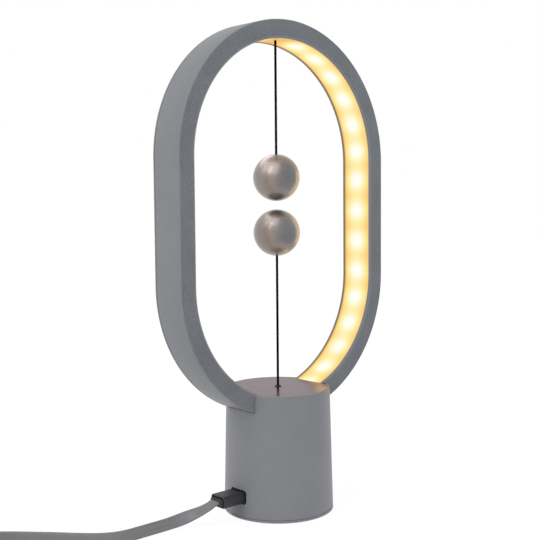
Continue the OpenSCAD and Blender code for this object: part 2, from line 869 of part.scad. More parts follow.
// Three chips and a capacitor on the board: their places as shares of its length and width
chip_shares = [[0.456, 0], [0.55, 0.255], [0.55, -0.255]];
chip_sizes = [[4.9, 3.9, 1.5], [3.2, 1.6, 0.9], [3.2, 1.6, 0.9]];
can_share = 0.757;
can_r = 2;
can_h = 5.4;

module board_parts() {
    color([0.15, 0.15, 0.16])
        translate([board_x, 0, board_top_z]) {
            for (i = [0:len(chip_sizes) - 1])
                translate([chip_shares[i][0] * board_l - chip_sizes[i][0] / 2,
                    chip_shares[i][1] * board_w - chip_sizes[i][1] / 2, 0])
                    cube(chip_sizes[i]);
            translate([can_share * board_l, 0, 0])
                cylinder(r = can_r, h = can_h);
        }
}

module board_screws() {
    color(steel_colour)
        at_board_posts()
            translate([0, 0, board_top_z])
                mirror([0, 0, 1])
                    screw_up(small_screw_r, small_head_r, small_head_h, board_top_z - floor_z - seam_gap);
}

module power_socket() {
    color(steel_colour)
        translate([0, 0, socket_z])
            difference() {
                x_bar(socket_x, socket_x + socket_l, socket_w, socket_h, socket_wall);
                x_bar(socket_x - overrun, socket_x + socket_l - socket_wall, socket_w - 2 * socket_wall,
                    socket_h - 2 * socket_wall, socket_wall / 2);
            }
}

module socket_tongue() {
    color([0.12, 0.12, 0.13])
        translate([socket_x + socket_l - socket_wall - socket_tongue_l, -socket_tongue_w / 2,
            socket_z - socket_tongue_t / 2])
            cube([socket_tongue_l, socket_tongue_w, socket_tongue_t]);
}

// Wires, two from the board to the switch's terminals and two to the light strip
wire_bend = 2.4;
wire_side_gap = 2;
pad_y = board_w / 2 - wire_bend / 2;
pad_first = 8.6;
pad_pitch = 1.8;
switch_wire_y = cheek_y + bracket_t + small_head_h + wire_r + wire_side_gap;
strip_wire_y = strip_w / 2 + 2 * wire_r - slip_gap;
bracket_top_z = flange_z + bracket_t;
terminal_top_z = switch_z + switch_h + terminal_h;
function pad_x(i) = board_x + pad_first + i * pad_pitch;
switch_wire_routes = [for (i = [0, 1]) let (x0 = pad_x(i), x = terminal_xs[1 - i]) [
    [x0, pad_y, board_top_z + seat_gap], [x0, pad_y + seam_gap, board_top_z + wire_bend],
    [(x0 + x) / 2, switch_wire_y, board_top_z + 4 * wire_bend],
    [x, switch_wire_y, flange_z - wire_bend],
    [x, switch_wire_y - wire_bend / 2, bracket_top_z + wire_bend],
    [x, switch_wire_y / 2, bracket_top_z + 2 * wire_bend],
    [x, wire_bend / 2, terminal_top_z + wire_bend * 3 / 4], [x, 0, terminal_top_z + slip_gap]]];
strip_wire_routes = [for (i = [2, 3])
    let (x0 = pad_x(i), x = i * pad_pitch - clamp_half_l - wire_bend / 2 - 3 * pad_pitch,
        mid_y = cheek_y + bracket_t + small_head_h + 2 * wire_r + slip_gap)
    [[x0, pad_y, board_top_z + seat_gap], [x0, pad_y + seam_gap, board_top_z + wire_bend],
    [x, mid_y, board_top_z + 4 * wire_bend], [x, mid_y, flange_z],
    [x, strip_wire_y, ring_lift - wire_bend / 2], [x, strip_wire_y, ring_lift + wire_bend * 8 / 5],
    [x + wire_bend / 4, strip_wire_y - wire_bend / 2, ring_lift + 2 * wire_bend],
    [x + wire_bend / 2, strip_wire_y - wire_bend, ring_lift + wire_bend * 9 / 5],
    [x + wire_bend / 2, strip_wire_y - wire_bend * 6 / 5, ring_lift + wire_bend * 4 / 3]]];
wire_sides = 6;

module wires(routes) {
    for (route = routes)
        skin(wire_rings(route, wire_r, wire_sides, [1, 0, 0.1]));
}

module switch_wires() {
    color([0.7, 0.1, 0.1])
        wires(switch_wire_routes);
}

module strip_wires() {
    color([0.15, 0.15, 0.15])
        wires(strip_wire_routes);
}

module ring_body() {
    wall_y = back_y - rear_wall - seam_gap;
    color(ring_colour)
        difference() {
            ring_sweep([[ring_in_r, front_y + bevel_depth], [ring_in_r + bevel_w, front_y],
                [ring_r - edge_bevel, front_y], [ring_r, front_y + edge_bevel], [ring_r, wall_y],
                [channel_r, wall_y], [channel_r, front_y + front_wall],
                [ring_in_r, front_y + front_wall]]);
            translate([0, 0, ring_lift - overrun])
                cylinder(r = string_hole_r, h = outer_wall + 2 * overrun);
            for (route = strip_wire_routes)
                translate([route[4][0], route[4][1], ring_lift - overrun])
                    cylinder(r = wire_r + seam_gap, h = outer_wall + 3 * overrun);
        }
}

module ring_back_cover() {
    wall_y = back_y - rear_wall;
    lip_r = channel_r - seat_gap;
    color(ring_colour)
        ring_sweep([[ring_in_r, wall_y], [lip_r - lip_t, wall_y], [lip_r - lip_t, wall_y - lip_h],
            [lip_r, wall_y - lip_h], [lip_r, wall_y], [ring_r, wall_y],
            [ring_r, back_y - edge_bevel], [ring_r - edge_bevel, back_y], [ring_in_r, back_y]]);
}

module diffuser() {
    y0 = front_y + front_wall + slip_gap;
    y1 = back_y - rear_wall - slip_gap;
    color(light_colour)
        difference() {
            ring_sweep([[diffuser_in_r, y0], [diffuser_out_r, y0], [diffuser_out_r, y1],
                [diffuser_in_r, y1]]);
            translate([0, 0, ring_lift])
                cylinder(r = string_hole_r, h = ring_h);
        }
}

module light_strip() {
    color([0.9, 0.9, 0.88])
        difference() {
            ring_sweep([[strip_in_r, -strip_w / 2], [strip_r, -strip_w / 2],
                [strip_r, strip_w / 2], [strip_in_r, strip_w / 2]]);
            translate([-string_room, -strip_w, ring_lift - overrun])
                cube([2 * string_room, 2 * strip_w, ring_rim]);
        }
}

module lights() {
    color(light_colour)
        for (i = [first_light:last_light])
            if (i != 0)
                on_strip(light_at(i))
                    translate([0, 0, -strip_t])
                        difference() {
                            translate([-light_size / 2, -light_size / 2, -light_h])
                                cube([light_size, light_size, light_h - seat_gap]);
                            translate([0, 0, -light_h - overrun])
                                cylinder(r = lens_r, h = overrun + lens_depth, $fn = lens_sides);
                        }
}

module strip_resistors() {
    color([0.1, 0.1, 0.1])
        for (i = [first_light:lights_per_resistor:last_light - 1])
            on_strip(light_at(i) + light_pitch / 2)
                translate([-resistor_l / 2, -resistor_w / 2, -strip_t - resistor_h])
                    cube([resistor_l, resistor_w, resistor_h - seat_gap]);
}

module string_anchor() {
    y0 = front_y + front_wall + slip_gap;
    y1 = back_y - rear_wall - slip_gap;
    color(steel_colour)
        difference() {
            translate([-anchor_l / 2, y0, anchor_z])
                cube([anchor_l, y1 - y0, anchor_t]);
            translate([0, 0, anchor_z - overrun])
                cylinder(r = string_r + slip_gap, h = anchor_t + 2 * overrun);
        }
}

module anchor_cord() {
    knot_z = anchor_z + anchor_t + anchor_knot_r;
    color(string_colour)
        union() {
            translate([0, 0, diffuser_top_z])
                cylinder(r = string_r, h = knot_z - diffuser_top_z);
            translate([0, 0, knot_z])
                sphere(anchor_knot_r);
        }
}

module upper_bend() {
    color(string_colour)
        translate([0, 0, upper_bend_z])
            sphere(bend_r);
}

module upper_string() {
    knot_z = upper_z + ball_in_r - knot_r - seat_gap;
    color(string_colour)
        union() {
            translate([0, 0, knot_z])
                cylinder(r = string_r, h = upper_bend_z - bend_r - bend_gap - knot_z);
            translate([0, 0, knot_z])
                sphere(knot_r);
        }
}

// Half of a ball's shell, about the origin, with the dome up and its foot at a height
module half_shell(z) {
    difference() {
        sphere(ball_r);
        sphere(ball_in_r);
        translate([0, 0, z - ball_d])
            cylinder(r = ball_d, h = ball_d);
    }
}

// The half that the string enters, with its hole at the top
module string_half() {
    difference() {
        half_shell(seat_gap);
        cylinder(r = string_hole_r, h = ball_r + overrun);
    }
}

// The half that holds the magnet behind its top, with a lip that centres the other half
module magnet_half() {
    lip_out_r = sqrt(pow(ball_in_r, 2) - pow(joint_lip_h, 2)) - fit_gap;
    difference() {
        union() {
            half_shell(0);
            intersection() {
                translate([0, 0, magnet_seat - magnet_t])
                    cylinder(r = magnet_r + magnet_cup_t, h = magnet_t + ball_wall);
                sphere(ball_r - ball_wall / 2);
            }
            rotate_extrude()
                polygon([[lip_out_r - joint_lip, -joint_lip_h], [lip_out_r, -joint_lip_h],
                    [lip_out_r, 0], [ball_in_r + ball_wall / 2, 0],
                    [ball_in_r, joint_lip], [lip_out_r - joint_lip, joint_lip]]);
        }
        translate([0, 0, magnet_seat - magnet_t - overrun])
            cylinder(r = magnet_r + slip_gap, h = magnet_t + overrun);
    }
}

module magnet() {
    translate([0, 0, magnet_seat - magnet_t])
        cylinder(r = magnet_r, h = magnet_t - seat_gap);
}

module upper_ball_cap() {
    color(ball_colour)
        translate([0, 0, upper_z])
            string_half();
}

module upper_ball_cup() {
    color(ball_colour)
        translate([0, 0, upper_z])
            mirror([0, 0, 1])
                magnet_half();
}

module upper_magnet() {
    color(steel_colour)
        translate([0, 0, upper_z])
            mirror([0, 0, 1])
                magnet();
}

module lower_bend() {
    color(string_colour)
        translate([0, 0, lower_bend_z])
            sphere(bend_r);
}

module lower_string() {
    z0 = lower_bend_z + bend_r + bend_gap;
    color(string_colour)
        translate([0, 0, z0])
            cylinder(r = string_r, h = lower_z - ball_in_r - seat_gap - z0);
}

module lower_knot() {
    color(string_colour)
        translate([0, 0, lower_z - ball_in_r + knot_r])
            sphere(knot_r);
}

module lower_ball_cap() {
    color(ball_colour)
        translate([0, 0, lower_z])
            magnet_half();
}

module lower_ball_cup() {
    color(ball_colour)
        translate([0, 0, lower_z])
            mirror([0, 0, 1])
                string_half();
}

module lower_magnet() {
    color(steel_colour)
        translate([0, 0, lower_z])
            magnet();
}

module plug_grip() {
    color(plug_colour)
        translate([0, 0, socket_z])
            difference() {
                union() {
                    x_bar(plug_tail_x, plug_nose_x, plug_w, plug_t, plug_round);
                    x_bar(cable_x, plug_tail_x + overrun, collar_w, collar_t, collar_t / 4);
                }
                x_bar(plug_nose_x - overrun, plug_nose_x + overrun, shell_w + 2 * seat_gap,
                    shell_h + 2 * seat_gap, shell_h / 4);
            }
}

module plug_shell() {
    color(steel_colour)
        translate([0, 0, socket_z])
            difference() {
                x_bar(plug_nose_x - overrun + seat_gap, plug_nose_x + shell_l, shell_w, shell_h,
                    shell_h / 4);
                x_bar(plug_nose_x, plug_nose_x + shell_l + overrun, shell_w - 2 * shell_skin,
                    shell_h - 2 * shell_skin, shell_skin);
            }
}

module power_cable() {
    color(cable_colour)
        skin(ribbon_rings(cable_path, ribbon_outline));
}

module cable_coil() {
    color(cable_colour)
        skin(ribbon_rings(coil_path, coil_outline));
}

module cable_tie() {
    out_half_h = cable_w / 2 + tie_gap + tie_t;
    in_half_h = cable_w / 2 + tie_gap;
    r1 = tie_out_r + cable_t / 2 + tie_side_gap;
    r0 = tie_in_r - cable_t / 2 - tie_side_gap;
    color(string_colour)
        translate([coil_x, coil_y, coil_z])
            rotate([0, 0, coil_start + tie_turn])
                difference() {
                    translate([r0 - tie_t, -tie_w / 2, -out_half_h])
                        cube([r1 - r0 + 2 * tie_t, tie_w, 2 * out_half_h]);
                    translate([r0, -tie_w / 2 - overrun, -in_half_h])
                        cube([r1 - r0, tie_w + 2 * overrun, 2 * in_half_h]);
                }
}

// Puts a child where the cable's inner end points, with +X along the large plug
module at_big_plug() {
    translate(tail_end)
        rotate([0, 0, coil_end + 180])
            children();
}

module big_plug_grip() {
    color(plug_colour)
        at_big_plug()
            union() {
                x_bar(0, big_collar_l + overrun, big_collar_w, big_collar_t, big_collar_t / 4);
                x_bar(big_collar_l, big_collar_l + big_plug_l, big_plug_w, big_plug_t, big_round);
            }
}

module big_plug_shell() {
    x0 = big_collar_l + big_plug_l;
    color(steel_colour)
        at_big_plug()
            difference() {
                x_bar(x0, x0 + big_shell_l, big_shell_w, big_shell_h, big_shell_skin);
                x_bar(x0 + overrun, x0 + big_shell_l + overrun, big_shell_w - 2 * big_shell_skin,
                    big_shell_h - 2 * big_shell_skin, big_shell_skin / 2);
            }
}

module big_plug_tongue() {
    x0 = big_collar_l + big_plug_l + overrun;
    color([0.9, 0.9, 0.9])
        at_big_plug()
            translate([x0, -big_tongue_w / 2, seam_gap])
                cube([big_tongue_l, big_tongue_w, big_tongue_t - seam_gap]);
}

foot_pad();
bottom_cover();
cover_screws();
counterweight();
base_shell();
base_top_plate();
string_guide();
ring_clamp();
clamp_screws();
switch_bracket();
switch_body();
switch_terminals();
switch_screws();
switch_plunger();
switch_lever();
lever_pivot();
lever_spring();
pull_string();
power_board();
board_parts();
board_screws();
power_socket();
socket_tongue();
switch_wires();
strip_wires();
ring_body();
ring_back_cover();
diffuser();
light_strip();
lights();
strip_resistors();
string_anchor();
anchor_cord();
upper_bend();
upper_string();
upper_ball_cap();
upper_ball_cup();
upper_magnet();
lower_bend();
lower_string();
lower_knot();
lower_ball_cap();
lower_ball_cup();
lower_magnet();
plug_grip();
plug_shell();
power_cable();
cable_coil();
cable_tie();
big_plug_grip();
big_plug_shell();
big_plug_tongue();
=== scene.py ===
import math

import bpy
import numpy as np
from mathutils import Matrix, Vector


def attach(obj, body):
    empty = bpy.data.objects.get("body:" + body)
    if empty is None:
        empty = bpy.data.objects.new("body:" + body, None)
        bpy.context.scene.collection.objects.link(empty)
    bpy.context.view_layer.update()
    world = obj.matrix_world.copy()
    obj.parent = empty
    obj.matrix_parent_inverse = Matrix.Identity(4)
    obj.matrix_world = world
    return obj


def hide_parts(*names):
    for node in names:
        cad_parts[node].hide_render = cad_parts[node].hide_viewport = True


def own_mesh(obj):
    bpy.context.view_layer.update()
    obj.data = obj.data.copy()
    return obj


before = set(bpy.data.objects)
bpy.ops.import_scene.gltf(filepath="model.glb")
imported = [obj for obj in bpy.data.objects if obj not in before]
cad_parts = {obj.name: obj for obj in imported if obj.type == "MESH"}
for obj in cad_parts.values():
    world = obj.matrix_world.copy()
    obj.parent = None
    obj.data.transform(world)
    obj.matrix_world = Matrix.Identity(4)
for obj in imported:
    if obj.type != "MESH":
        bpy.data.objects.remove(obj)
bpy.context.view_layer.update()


# ---------------------------------------------------------------- camera
# The picture is taken from the left of the ring's front, from a little above the middle of
# the lamp, with a longer lens that keeps the base and the ring nearly upright.
camera = bpy.data.objects.new("camera", bpy.data.cameras.new("camera"))
camera.data.lens = 63.906
camera.data.sensor_width = 36
camera_place = (-0.3338, -0.3639, 0.1613)
across = Vector((0.7415, -0.6710, -0.0083))
ahead = Vector((0.6687, 0.7399, -0.0739)).normalized()
across = (across - ahead * across.dot(ahead)).normalized()
turn = Matrix((across, across.cross(ahead), -ahead)).transposed()
camera.matrix_world = Matrix.Translation(camera_place) @ turn.to_4x4()
bpy.context.scene.collection.objects.link(camera)
bpy.context.scene.camera = camera
bpy.context.scene.view_settings.view_transform = "Standard"


# ---------------------------------------------------------------- studio
# A matt white table top runs up to a white surround. One broad soft lamp stands high on the
# left and a weaker one in front on the right. A pale card and a small panel show in gloss alone.
def tone(red, green, blue):
    """The shader's colour for a colour given as 0 to 255 a channel."""
    parts = [c / 255 for c in (red, green, blue)]
    return tuple(c / 12.92 if c <= 0.04045 else ((c + 0.055) / 1.055) ** 2.4 for c in parts) + (1,)


def put(tree, kind, inputs=None, **settings):
    """A new node with its settings. Each input is a plain value or the output that feeds it."""
    node = tree.nodes.new(kind)
    for name, value in settings.items():
        setattr(node, name, value)
    for name, value in (inputs or {}).items():
        if isinstance(value, bpy.types.NodeSocket):
            tree.links.new(value, node.inputs[name])
        else:
            node.inputs[name].default_value = value
    return node


def worked(tree, operation, *values, clamp=False):
    """The result of a sum. Each value is a plain number or an output."""
    return put(tree, "ShaderNodeMath", dict(enumerate(values)), operation=operation,
               use_clamp=clamp).outputs[0]


def ranged(tree, value, low, high, start=0, end=1):
    """A value that goes from start to end, carried over to low to high and kept between."""
    return put(tree, "ShaderNodeMapRange", {"Value": value, "From Min": start, "From Max": end,
                                            "To Min": low, "To Max": high}).outputs[0]


def seen_white(tree):
    """1 for what the camera sees, straight on, in a gloss or through a clear part."""
    ray = put(tree, "ShaderNodeLightPath").outputs
    both = worked(tree, "ADD", ray["Is Camera Ray"], ray["Is Glossy Ray"])
    return worked(tree, "ADD", both, ray["Is Transmission Ray"], clamp=True)


def add_object(name, data):
    """Puts a mesh or a lamp into the scene, at the origin and unturned."""
    made = bpy.data.objects.new(name, data)
    bpy.context.scene.collection.objects.link(made)
    return made


def bare_material(name):
    """A new material with an empty tree, and that tree."""
    material = bpy.data.materials.new(name)
    material.use_nodes = True
    material.node_tree.nodes.clear()
    return material, material.node_tree


white, light_from_surround = (1, 1, 1, 1), 0.58
world = bpy.data.worlds.new("white_surround")
bpy.context.scene.world = world
world.use_nodes = True
surround = world.node_tree
surround.nodes.clear()
glow = ranged(surround, seen_white(surround), light_from_surround, 1)
sky = put(surround, "ShaderNodeBackground", {"Color": white, "Strength": glow})
put(surround, "ShaderNodeOutputWorld", {"Surface": sky.outputs[0]})

table_half, table_white, paper_level, paper_share = 6, 0.92, 1.12, 0.8
table = bpy.data.meshes.new("table_top")
table.from_pydata([(-table_half, -table_half, 0), (table_half, -table_half, 0),
                   (table_half, table_half, 0), (-table_half, table_half, 0)], [], [(0, 1, 2, 3)])
table_top = add_object("table_top", table)
matt, cloth = bare_material("matt_white")
chalk = put(cloth, "ShaderNodeBsdfDiffuse", {"Color": (table_white, table_white, table_white, 1)})
paper = put(cloth, "ShaderNodeEmission", {"Color": white, "Strength": paper_level})
lit = worked(cloth, "MULTIPLY", seen_white(cloth), paper_share)
mixed = put(cloth, "ShaderNodeMixShader", {0: lit, 1: chalk.outputs[0], 2: paper.outputs[0]})
put(cloth, "ShaderNodeOutputMaterial", {"Surface": mixed.outputs[0]})
table.materials.append(matt)


def soft_lamp(name, place, target, width, height, power, colour=(255, 255, 255), in_gloss=True,
              in_matt=True):
    """A rectangular lamp in a place, turned to a target, its power in watts. The camera never
    sees it, and it can be left out of gloss or made to show in gloss alone."""
    lamp = bpy.data.lights.new(name, "AREA")
    lamp.shape = "RECTANGLE"
    lamp.size, lamp.size_y, lamp.energy = width, height, power
    lamp.color = tone(*colour)[:3]
    stand = add_object(name, lamp)
    stand.location = place
    stand.rotation_mode = "QUATERNION"
    stand.rotation_quaternion = (Vector(target) - Vector(place)).to_track_quat("-Z", "Y")
    stand.visible_camera = False
    stand.visible_glossy, stand.visible_diffuse = in_gloss, in_matt


lamp_middle = (0, 0, 0.13)
soft_lamp("left_lamp", (-1.35, 0.0, 1.15), lamp_middle, 0.9, 1.1, 10)
soft_lamp("front_fill", (0.5, -1.5, 0.7), lamp_middle, 1.0, 1.0, 4.5, in_gloss=False)


def gloss_card(name, rows, levels, first_angle, last_angle, colour):
    """A curved card that only shows in glossy surfaces. Each row is a distance and a height,
    and the levels go round the lamp from the first angle to the last, in degrees from x."""
    angles = np.radians(np.linspace(first_angle, last_angle, len(levels)))
    count = len(levels)
    points = [(far * math.cos(a), far * math.sin(a), high) for far, high in rows for a in angles]
    corners = [i + j * count for j in range(len(rows) - 1) for i in range(count - 1)]
    mesh = bpy.data.meshes.new(name)
    mesh.from_pydata(points, [], [(k, k + 1, k + 1 + count, k + count) for k in corners])
    stored = mesh.attributes.new("level", "FLOAT", "POINT")
    stored.data.foreach_set("value", list(levels) * len(rows))
    card = add_object(name, mesh)
    face, tree = bare_material(name)
    level = put(tree, "ShaderNodeAttribute", attribute_name="level").outputs["Fac"]
    light = put(tree, "ShaderNodeEmission", {"Color": tone(*colour), "Strength": level})
    put(tree, "ShaderNodeOutputMaterial", {"Surface": light.outputs[0]})
    mesh.materials.append(face)
    card.visible_camera = card.visible_diffuse = card.visible_transmission = False
    card.visible_shadow = card.visible_volume_scatter = False


gloss_card("grey_card", [(0.16, 0.001), (1.25, 0.001), (1.3, 1.3), (0.8, 2.2)],
           [1.05, 1.0, 0.94, 0.88, 0.83] + [0.8] * 10, -138, -17, (226, 240, 247))
soft_lamp("ball_panel", (-0.040, -0.010, 0.214), (0, 0, 0.176), 0.08, 0.06, 0.022, (255, 243, 245),
          in_matt=False)


# ---------------------------------------------------------------- power cable
# A flat two-core lead, 6.2 mm wide and 1.5 mm thick, extruded in soft grey plastic. It leaves
# the small plug flat, twists on edge, lies on the table and is wound up on edge behind a tie.
cable_width = 0.0062
cable_thickness = 0.0015
cable_corner = 0.00068
cable_points = np.array([
    (-42.61, 0, 11.7, 0), (-43.81, 0, 11.7, 0), (-45.4, 0.1, 10.9, 6), (-48, 0.9, 9.6, 16),
    (-50.7, 2.6, 8.1, 30), (-54.2, 5.5, 6.2, 49), (-58.4, 8.1, 4.5, 70), (-63, 9.7, 3.5, 86),
    (-69, 10.1, 3.2, 90), (-80, 10, 3.2, 90), (-88, 10, 3.2, 90), (-94.5, 11.5, 3.2, 90),
    (-101, 15.5, 3.2, 90), (-108, 22.5, 3.2, 90), (-115, 30.5, 3.2, 90), (-123, 39, 3.2, 90),
    (-132, 48, 3.2, 90), (-142, 55.8, 3.3, 90), (-152, 61.2, 3.6, 90)]) * (0.001, 0.001, 0.001, 1)
coil_middle = np.array((-0.187, 0.030, 0.004))
coil_radius, coil_pitch, coil_turns, coil_from = 0.041, 0.0024, 3.53536, math.radians(70)
coil_steps_a_turn, tail_radius, tail_steps = 72, 0.014, 16


def on_coil(radius, angle):
    """A place at a distance and an angle from the coil's middle."""
    return coil_middle + radius * np.array((math.cos(angle), math.sin(angle), 0))


def cable_route():
    """The middle of the cable as x, y, z and its turn about its own length in degrees."""
    heading = np.array((-math.sin(coil_from), math.cos(coil_from), 0))
    into = [np.append(on_coil(coil_radius, coil_from) - step * cable_width * heading, 90)
            for step in (2, 1)]
    knots = np.vstack([cable_points, into])
    route = []
    for i in range(len(knots) - 1):
        a, b, c, d = (knots[min(max(k, 0), len(knots) - 1)] for k in (i - 1, i, i + 1, i + 2))
        for t in np.arange(4) / 4:
            route.append((2 * b + (c - a) * t + (2 * a - 5 * b + 4 * c - d) * t ** 2
                          + (3 * b - a - 3 * c + d) * t ** 3) / 2)
    steps = round(coil_turns * coil_steps_a_turn)
    for i in range(steps + 1):
        turned = coil_turns * i / steps
        route.append(np.append(on_coil(coil_radius - coil_pitch * turned,
                                       coil_from + math.tau * turned), 90))
    end_angle = coil_from + math.tau * coil_turns
    pivot = on_coil(coil_radius - coil_pitch * coil_turns - tail_radius, end_angle)
    for part in np.arange(1, tail_steps + 1) / tail_steps:
        a = end_angle + math.pi / 2 * part
        route.append(np.append(pivot + tail_radius * np.array((math.cos(a), math.sin(a), 0)),
                               90 * (1 - part)))
    inward = np.array((-math.cos(end_angle), -math.sin(end_angle), 0, 0))
    route.append(route[-1] + cable_width / 2 * inward)
    route.append(route[-1] + cable_width / 2 * inward)
    return np.array(route), end_angle


def add_piece(name, vertices, faces, material, body, sharp=40):
    """Makes a mesh in the lamp's own place, shades it and lets it ride on a body."""
    mesh = bpy.data.meshes.new(name)
    mesh.from_pydata([tuple(float(c) for c in v) for v in vertices], [], faces)
    mesh.polygons.foreach_set("use_smooth", [True] * len(mesh.polygons))
    mesh.set_sharp_from_angle(angle=math.radians(sharp))
    mesh.materials.append(material)
    mesh.update()
    piece = add_object(name, mesh)
    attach(piece, body)
    return piece


def tube_faces(rings, sides):
    """The faces of a closed tube through rings of as many sides, ends included."""
    faces = [(i * sides + k, (i + 1) * sides + k, (i + 1) * sides + (k + 1) % sides,
              i * sides + (k + 1) % sides) for i in range(rings - 1) for k in range(sides)]
    return faces + [tuple(range(sides)),
                    tuple(reversed(range((rings - 1) * sides, rings * sides)))]


def rounded_outline(width, height, radius, steps=5):
    """A rectangle with rounded corners, counter-clockwise, as points about the origin."""
    points = []
    for quarter in range(4):
        x = (width / 2 - radius) * (1, -1, -1, 1)[quarter]
        y = (height / 2 - radius) * (1, 1, -1, -1)[quarter]
        for i in range(steps + 1):
            a = math.pi / 2 * (quarter + i / steps)
            points.append((x + radius * math.cos(a), y + radius * math.sin(a)))
    return np.array(points)


def shader_of(material):
    """The sockets of a material's shader."""
    return material.node_tree.nodes["Principled BSDF"].inputs


def new_material(name, **uniform):
    """A new material, its tree and its shader's sockets, with the values that are uniform."""
    material = bpy.data.materials.new(name)
    material.use_nodes = True
    for socket, value in uniform.items():
        shader_of(material)[socket.replace("_", " ")].default_value = value
    return material, material.node_tree, shader_of(material)


def noise(tree, place, scale, detail, roughness=0.5):
    """A noise from 0 to 1 with so many finer layers."""
    return put(tree, "ShaderNodeTexNoise", {"Vector": place, "Scale": scale, "Detail": detail,
                                            "Roughness": roughness}).outputs["Fac"]


def stretched(tree, place, scale, angle=0):
    """A place turned by an angle about z, in degrees, then scaled on each axis."""
    return put(tree, "ShaderNodeMapping", {"Vector": place, "Scale": scale, "Rotation": (
        0, 0, math.radians(angle))}).outputs[0]


def mixed_values(tree, share, first, second):
    """A value between two, by the second one's share."""
    return put(tree, "ShaderNodeMix", {0: share, 2: first, 3: second}).outputs[0]


def blended(tree, share, first, second):
    """A colour between two, each an output or red, green and blue as 0 to 255."""
    pair = [c if isinstance(c, bpy.types.NodeSocket) else tone(*c) for c in (first, second)]
    return put(tree, "ShaderNodeMix", {"Factor": share, 6: pair[0], 7: pair[1]},
               data_type="RGBA").outputs[2]


def dress(tree, shader, colour=None, rough=None, height=None, distance=0, strength=1):
    """Links a colour, a roughness and a height in relief to the shader."""
    if colour:
        tree.links.new(colour, shader["Base Color"])
    if rough:
        tree.links.new(rough, shader["Roughness"])
    if height:
        bump = put(tree, "ShaderNodeBump", {"Height": height, "Distance": distance,
                                            "Strength": strength})
        tree.links.new(bump.outputs[0], shader["Normal"])


def finish(name, colour, other, grain, roughness=0.5, relief=0.0, metallic=0.0, specular=0.5,
           drift=60, uneven=0.05, stretch=(1, 1, 1)):
    """A paint, plastic or metal. Its colour goes from colour to other in a grain of that size
    and in slow drifts, its roughness is uneven, and its grain stands up by relief."""
    material, tree, shader = new_material(name, Metallic=metallic, Specular_IOR_Level=specular)
    place = put(tree, "ShaderNodeTexCoord").outputs["Object"]
    fine = noise(tree, stretched(tree, place, stretch), 1 / grain, 3, 0.6)
    both = mixed_values(tree, 0.35, fine, noise(tree, place, drift, 2))
    rough = ranged(tree, both, roughness - uneven, roughness + uneven)
    dress(tree, shader, blended(tree, ranged(tree, both, 0, 1, 0.35, 0.65), colour, other), rough,
          fine if relief else None, relief)
    return material


def cable_finish():
    """Extruded plastic: faint lines run along the cable and its grey drifts a little."""
    material, tree, shader = new_material("soft_grey_plastic")
    along = put(tree, "ShaderNodeUVMap", uv_map="along_and_round").outputs[0]
    lines = noise(tree, stretched(tree, along, (18, 2600, 1)), 1, 2)
    scuffs = noise(tree, stretched(tree, along, (300, 700, 1)), 1, 4)
    both = mixed_values(tree, 0.5, lines, scuffs)
    span = ranged(tree, both, 0, 1, 0.35, 0.65)
    dress(tree, shader, blended(tree, span, (118, 118, 121), (131, 131, 134)),
          ranged(tree, scuffs, 0.38, 0.56), both, 0.00005, 0.6)
    return material


def chart_tube(piece, line, outline):
    """Stores the length along a tube and the way round it, in metres, as its UV map."""
    sides = len(outline)
    run = np.append(0, np.cumsum(np.linalg.norm(np.diff(line, axis=0), axis=1)))
    girth = np.append(0, np.cumsum(np.linalg.norm(np.roll(outline, -1, 0) - outline, axis=1)))
    chart = piece.data.uv_layers.new(name="along_and_round").data
    for face in piece.data.polygons[:-2]:
        k = face.index % sides
        for loop in face.loop_indices:
            vertex = piece.data.loops[loop].vertex_index
            side = vertex % sides
            chart[loop].uv = (run[vertex // sides], girth[side if side >= k else sides])


def lay_cable():
    """Sweeps the flat outline along the route, turned as the route says."""
    route, end_angle = cable_route()
    outline = rounded_outline(cable_width, cable_thickness, cable_corner, 4)
    sides = len(outline)
    vertices = []
    for i, point in enumerate(route):
        d = route[min(i + 1, len(route) - 1), :3] - route[max(i - 1, 0), :3]
        d /= np.linalg.norm(d)
        h = np.cross(d, (0, 0, 1))
        h /= np.linalg.norm(h)
        v = np.cross(h, d)
        a = math.radians(point[3])
        for q0, q1 in outline:
            vertices.append(point[:3] + (q0 * math.cos(a) - q1 * math.sin(a)) * h
                            + (q0 * math.sin(a) + q1 * math.cos(a)) * v)
    faces = tube_faces(len(route), sides)
    piece = add_piece("flat_cable", vertices, faces, cable_finish(), "power_lead", 60)
    chart_tube(piece, route[:, :3], outline)
    return piece, route, end_angle


flat_cable, cable_line, coil_end = lay_cable()
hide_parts("power_cable", "cable_coil")


# ---------------------------------------------------------------- small plug
# The plug that goes into the base is moulded in dark grey plastic round a bright steel shell.
# Its back is framed, and a flat collar stands out of the frame round the cable.
port_height = 0.0117


def at_port(points):
    """Points given across, up and along the plug from the base's axis, in the lamp's place."""
    return [Vector((-p[2], -p[0], port_height + p[1])) for p in points]


def loft(sections):
    """Vertices and faces of a closed bar: each section is width, height, corner, distance."""
    outlines = [rounded_outline(w, h, r, 6) for w, h, r, _ in sections]
    vertices = [(x, y, s[3]) for s, outline in zip(sections, outlines) for x, y in outline[::-1]]
    return vertices, tube_faces(len(sections), len(outlines[0]))


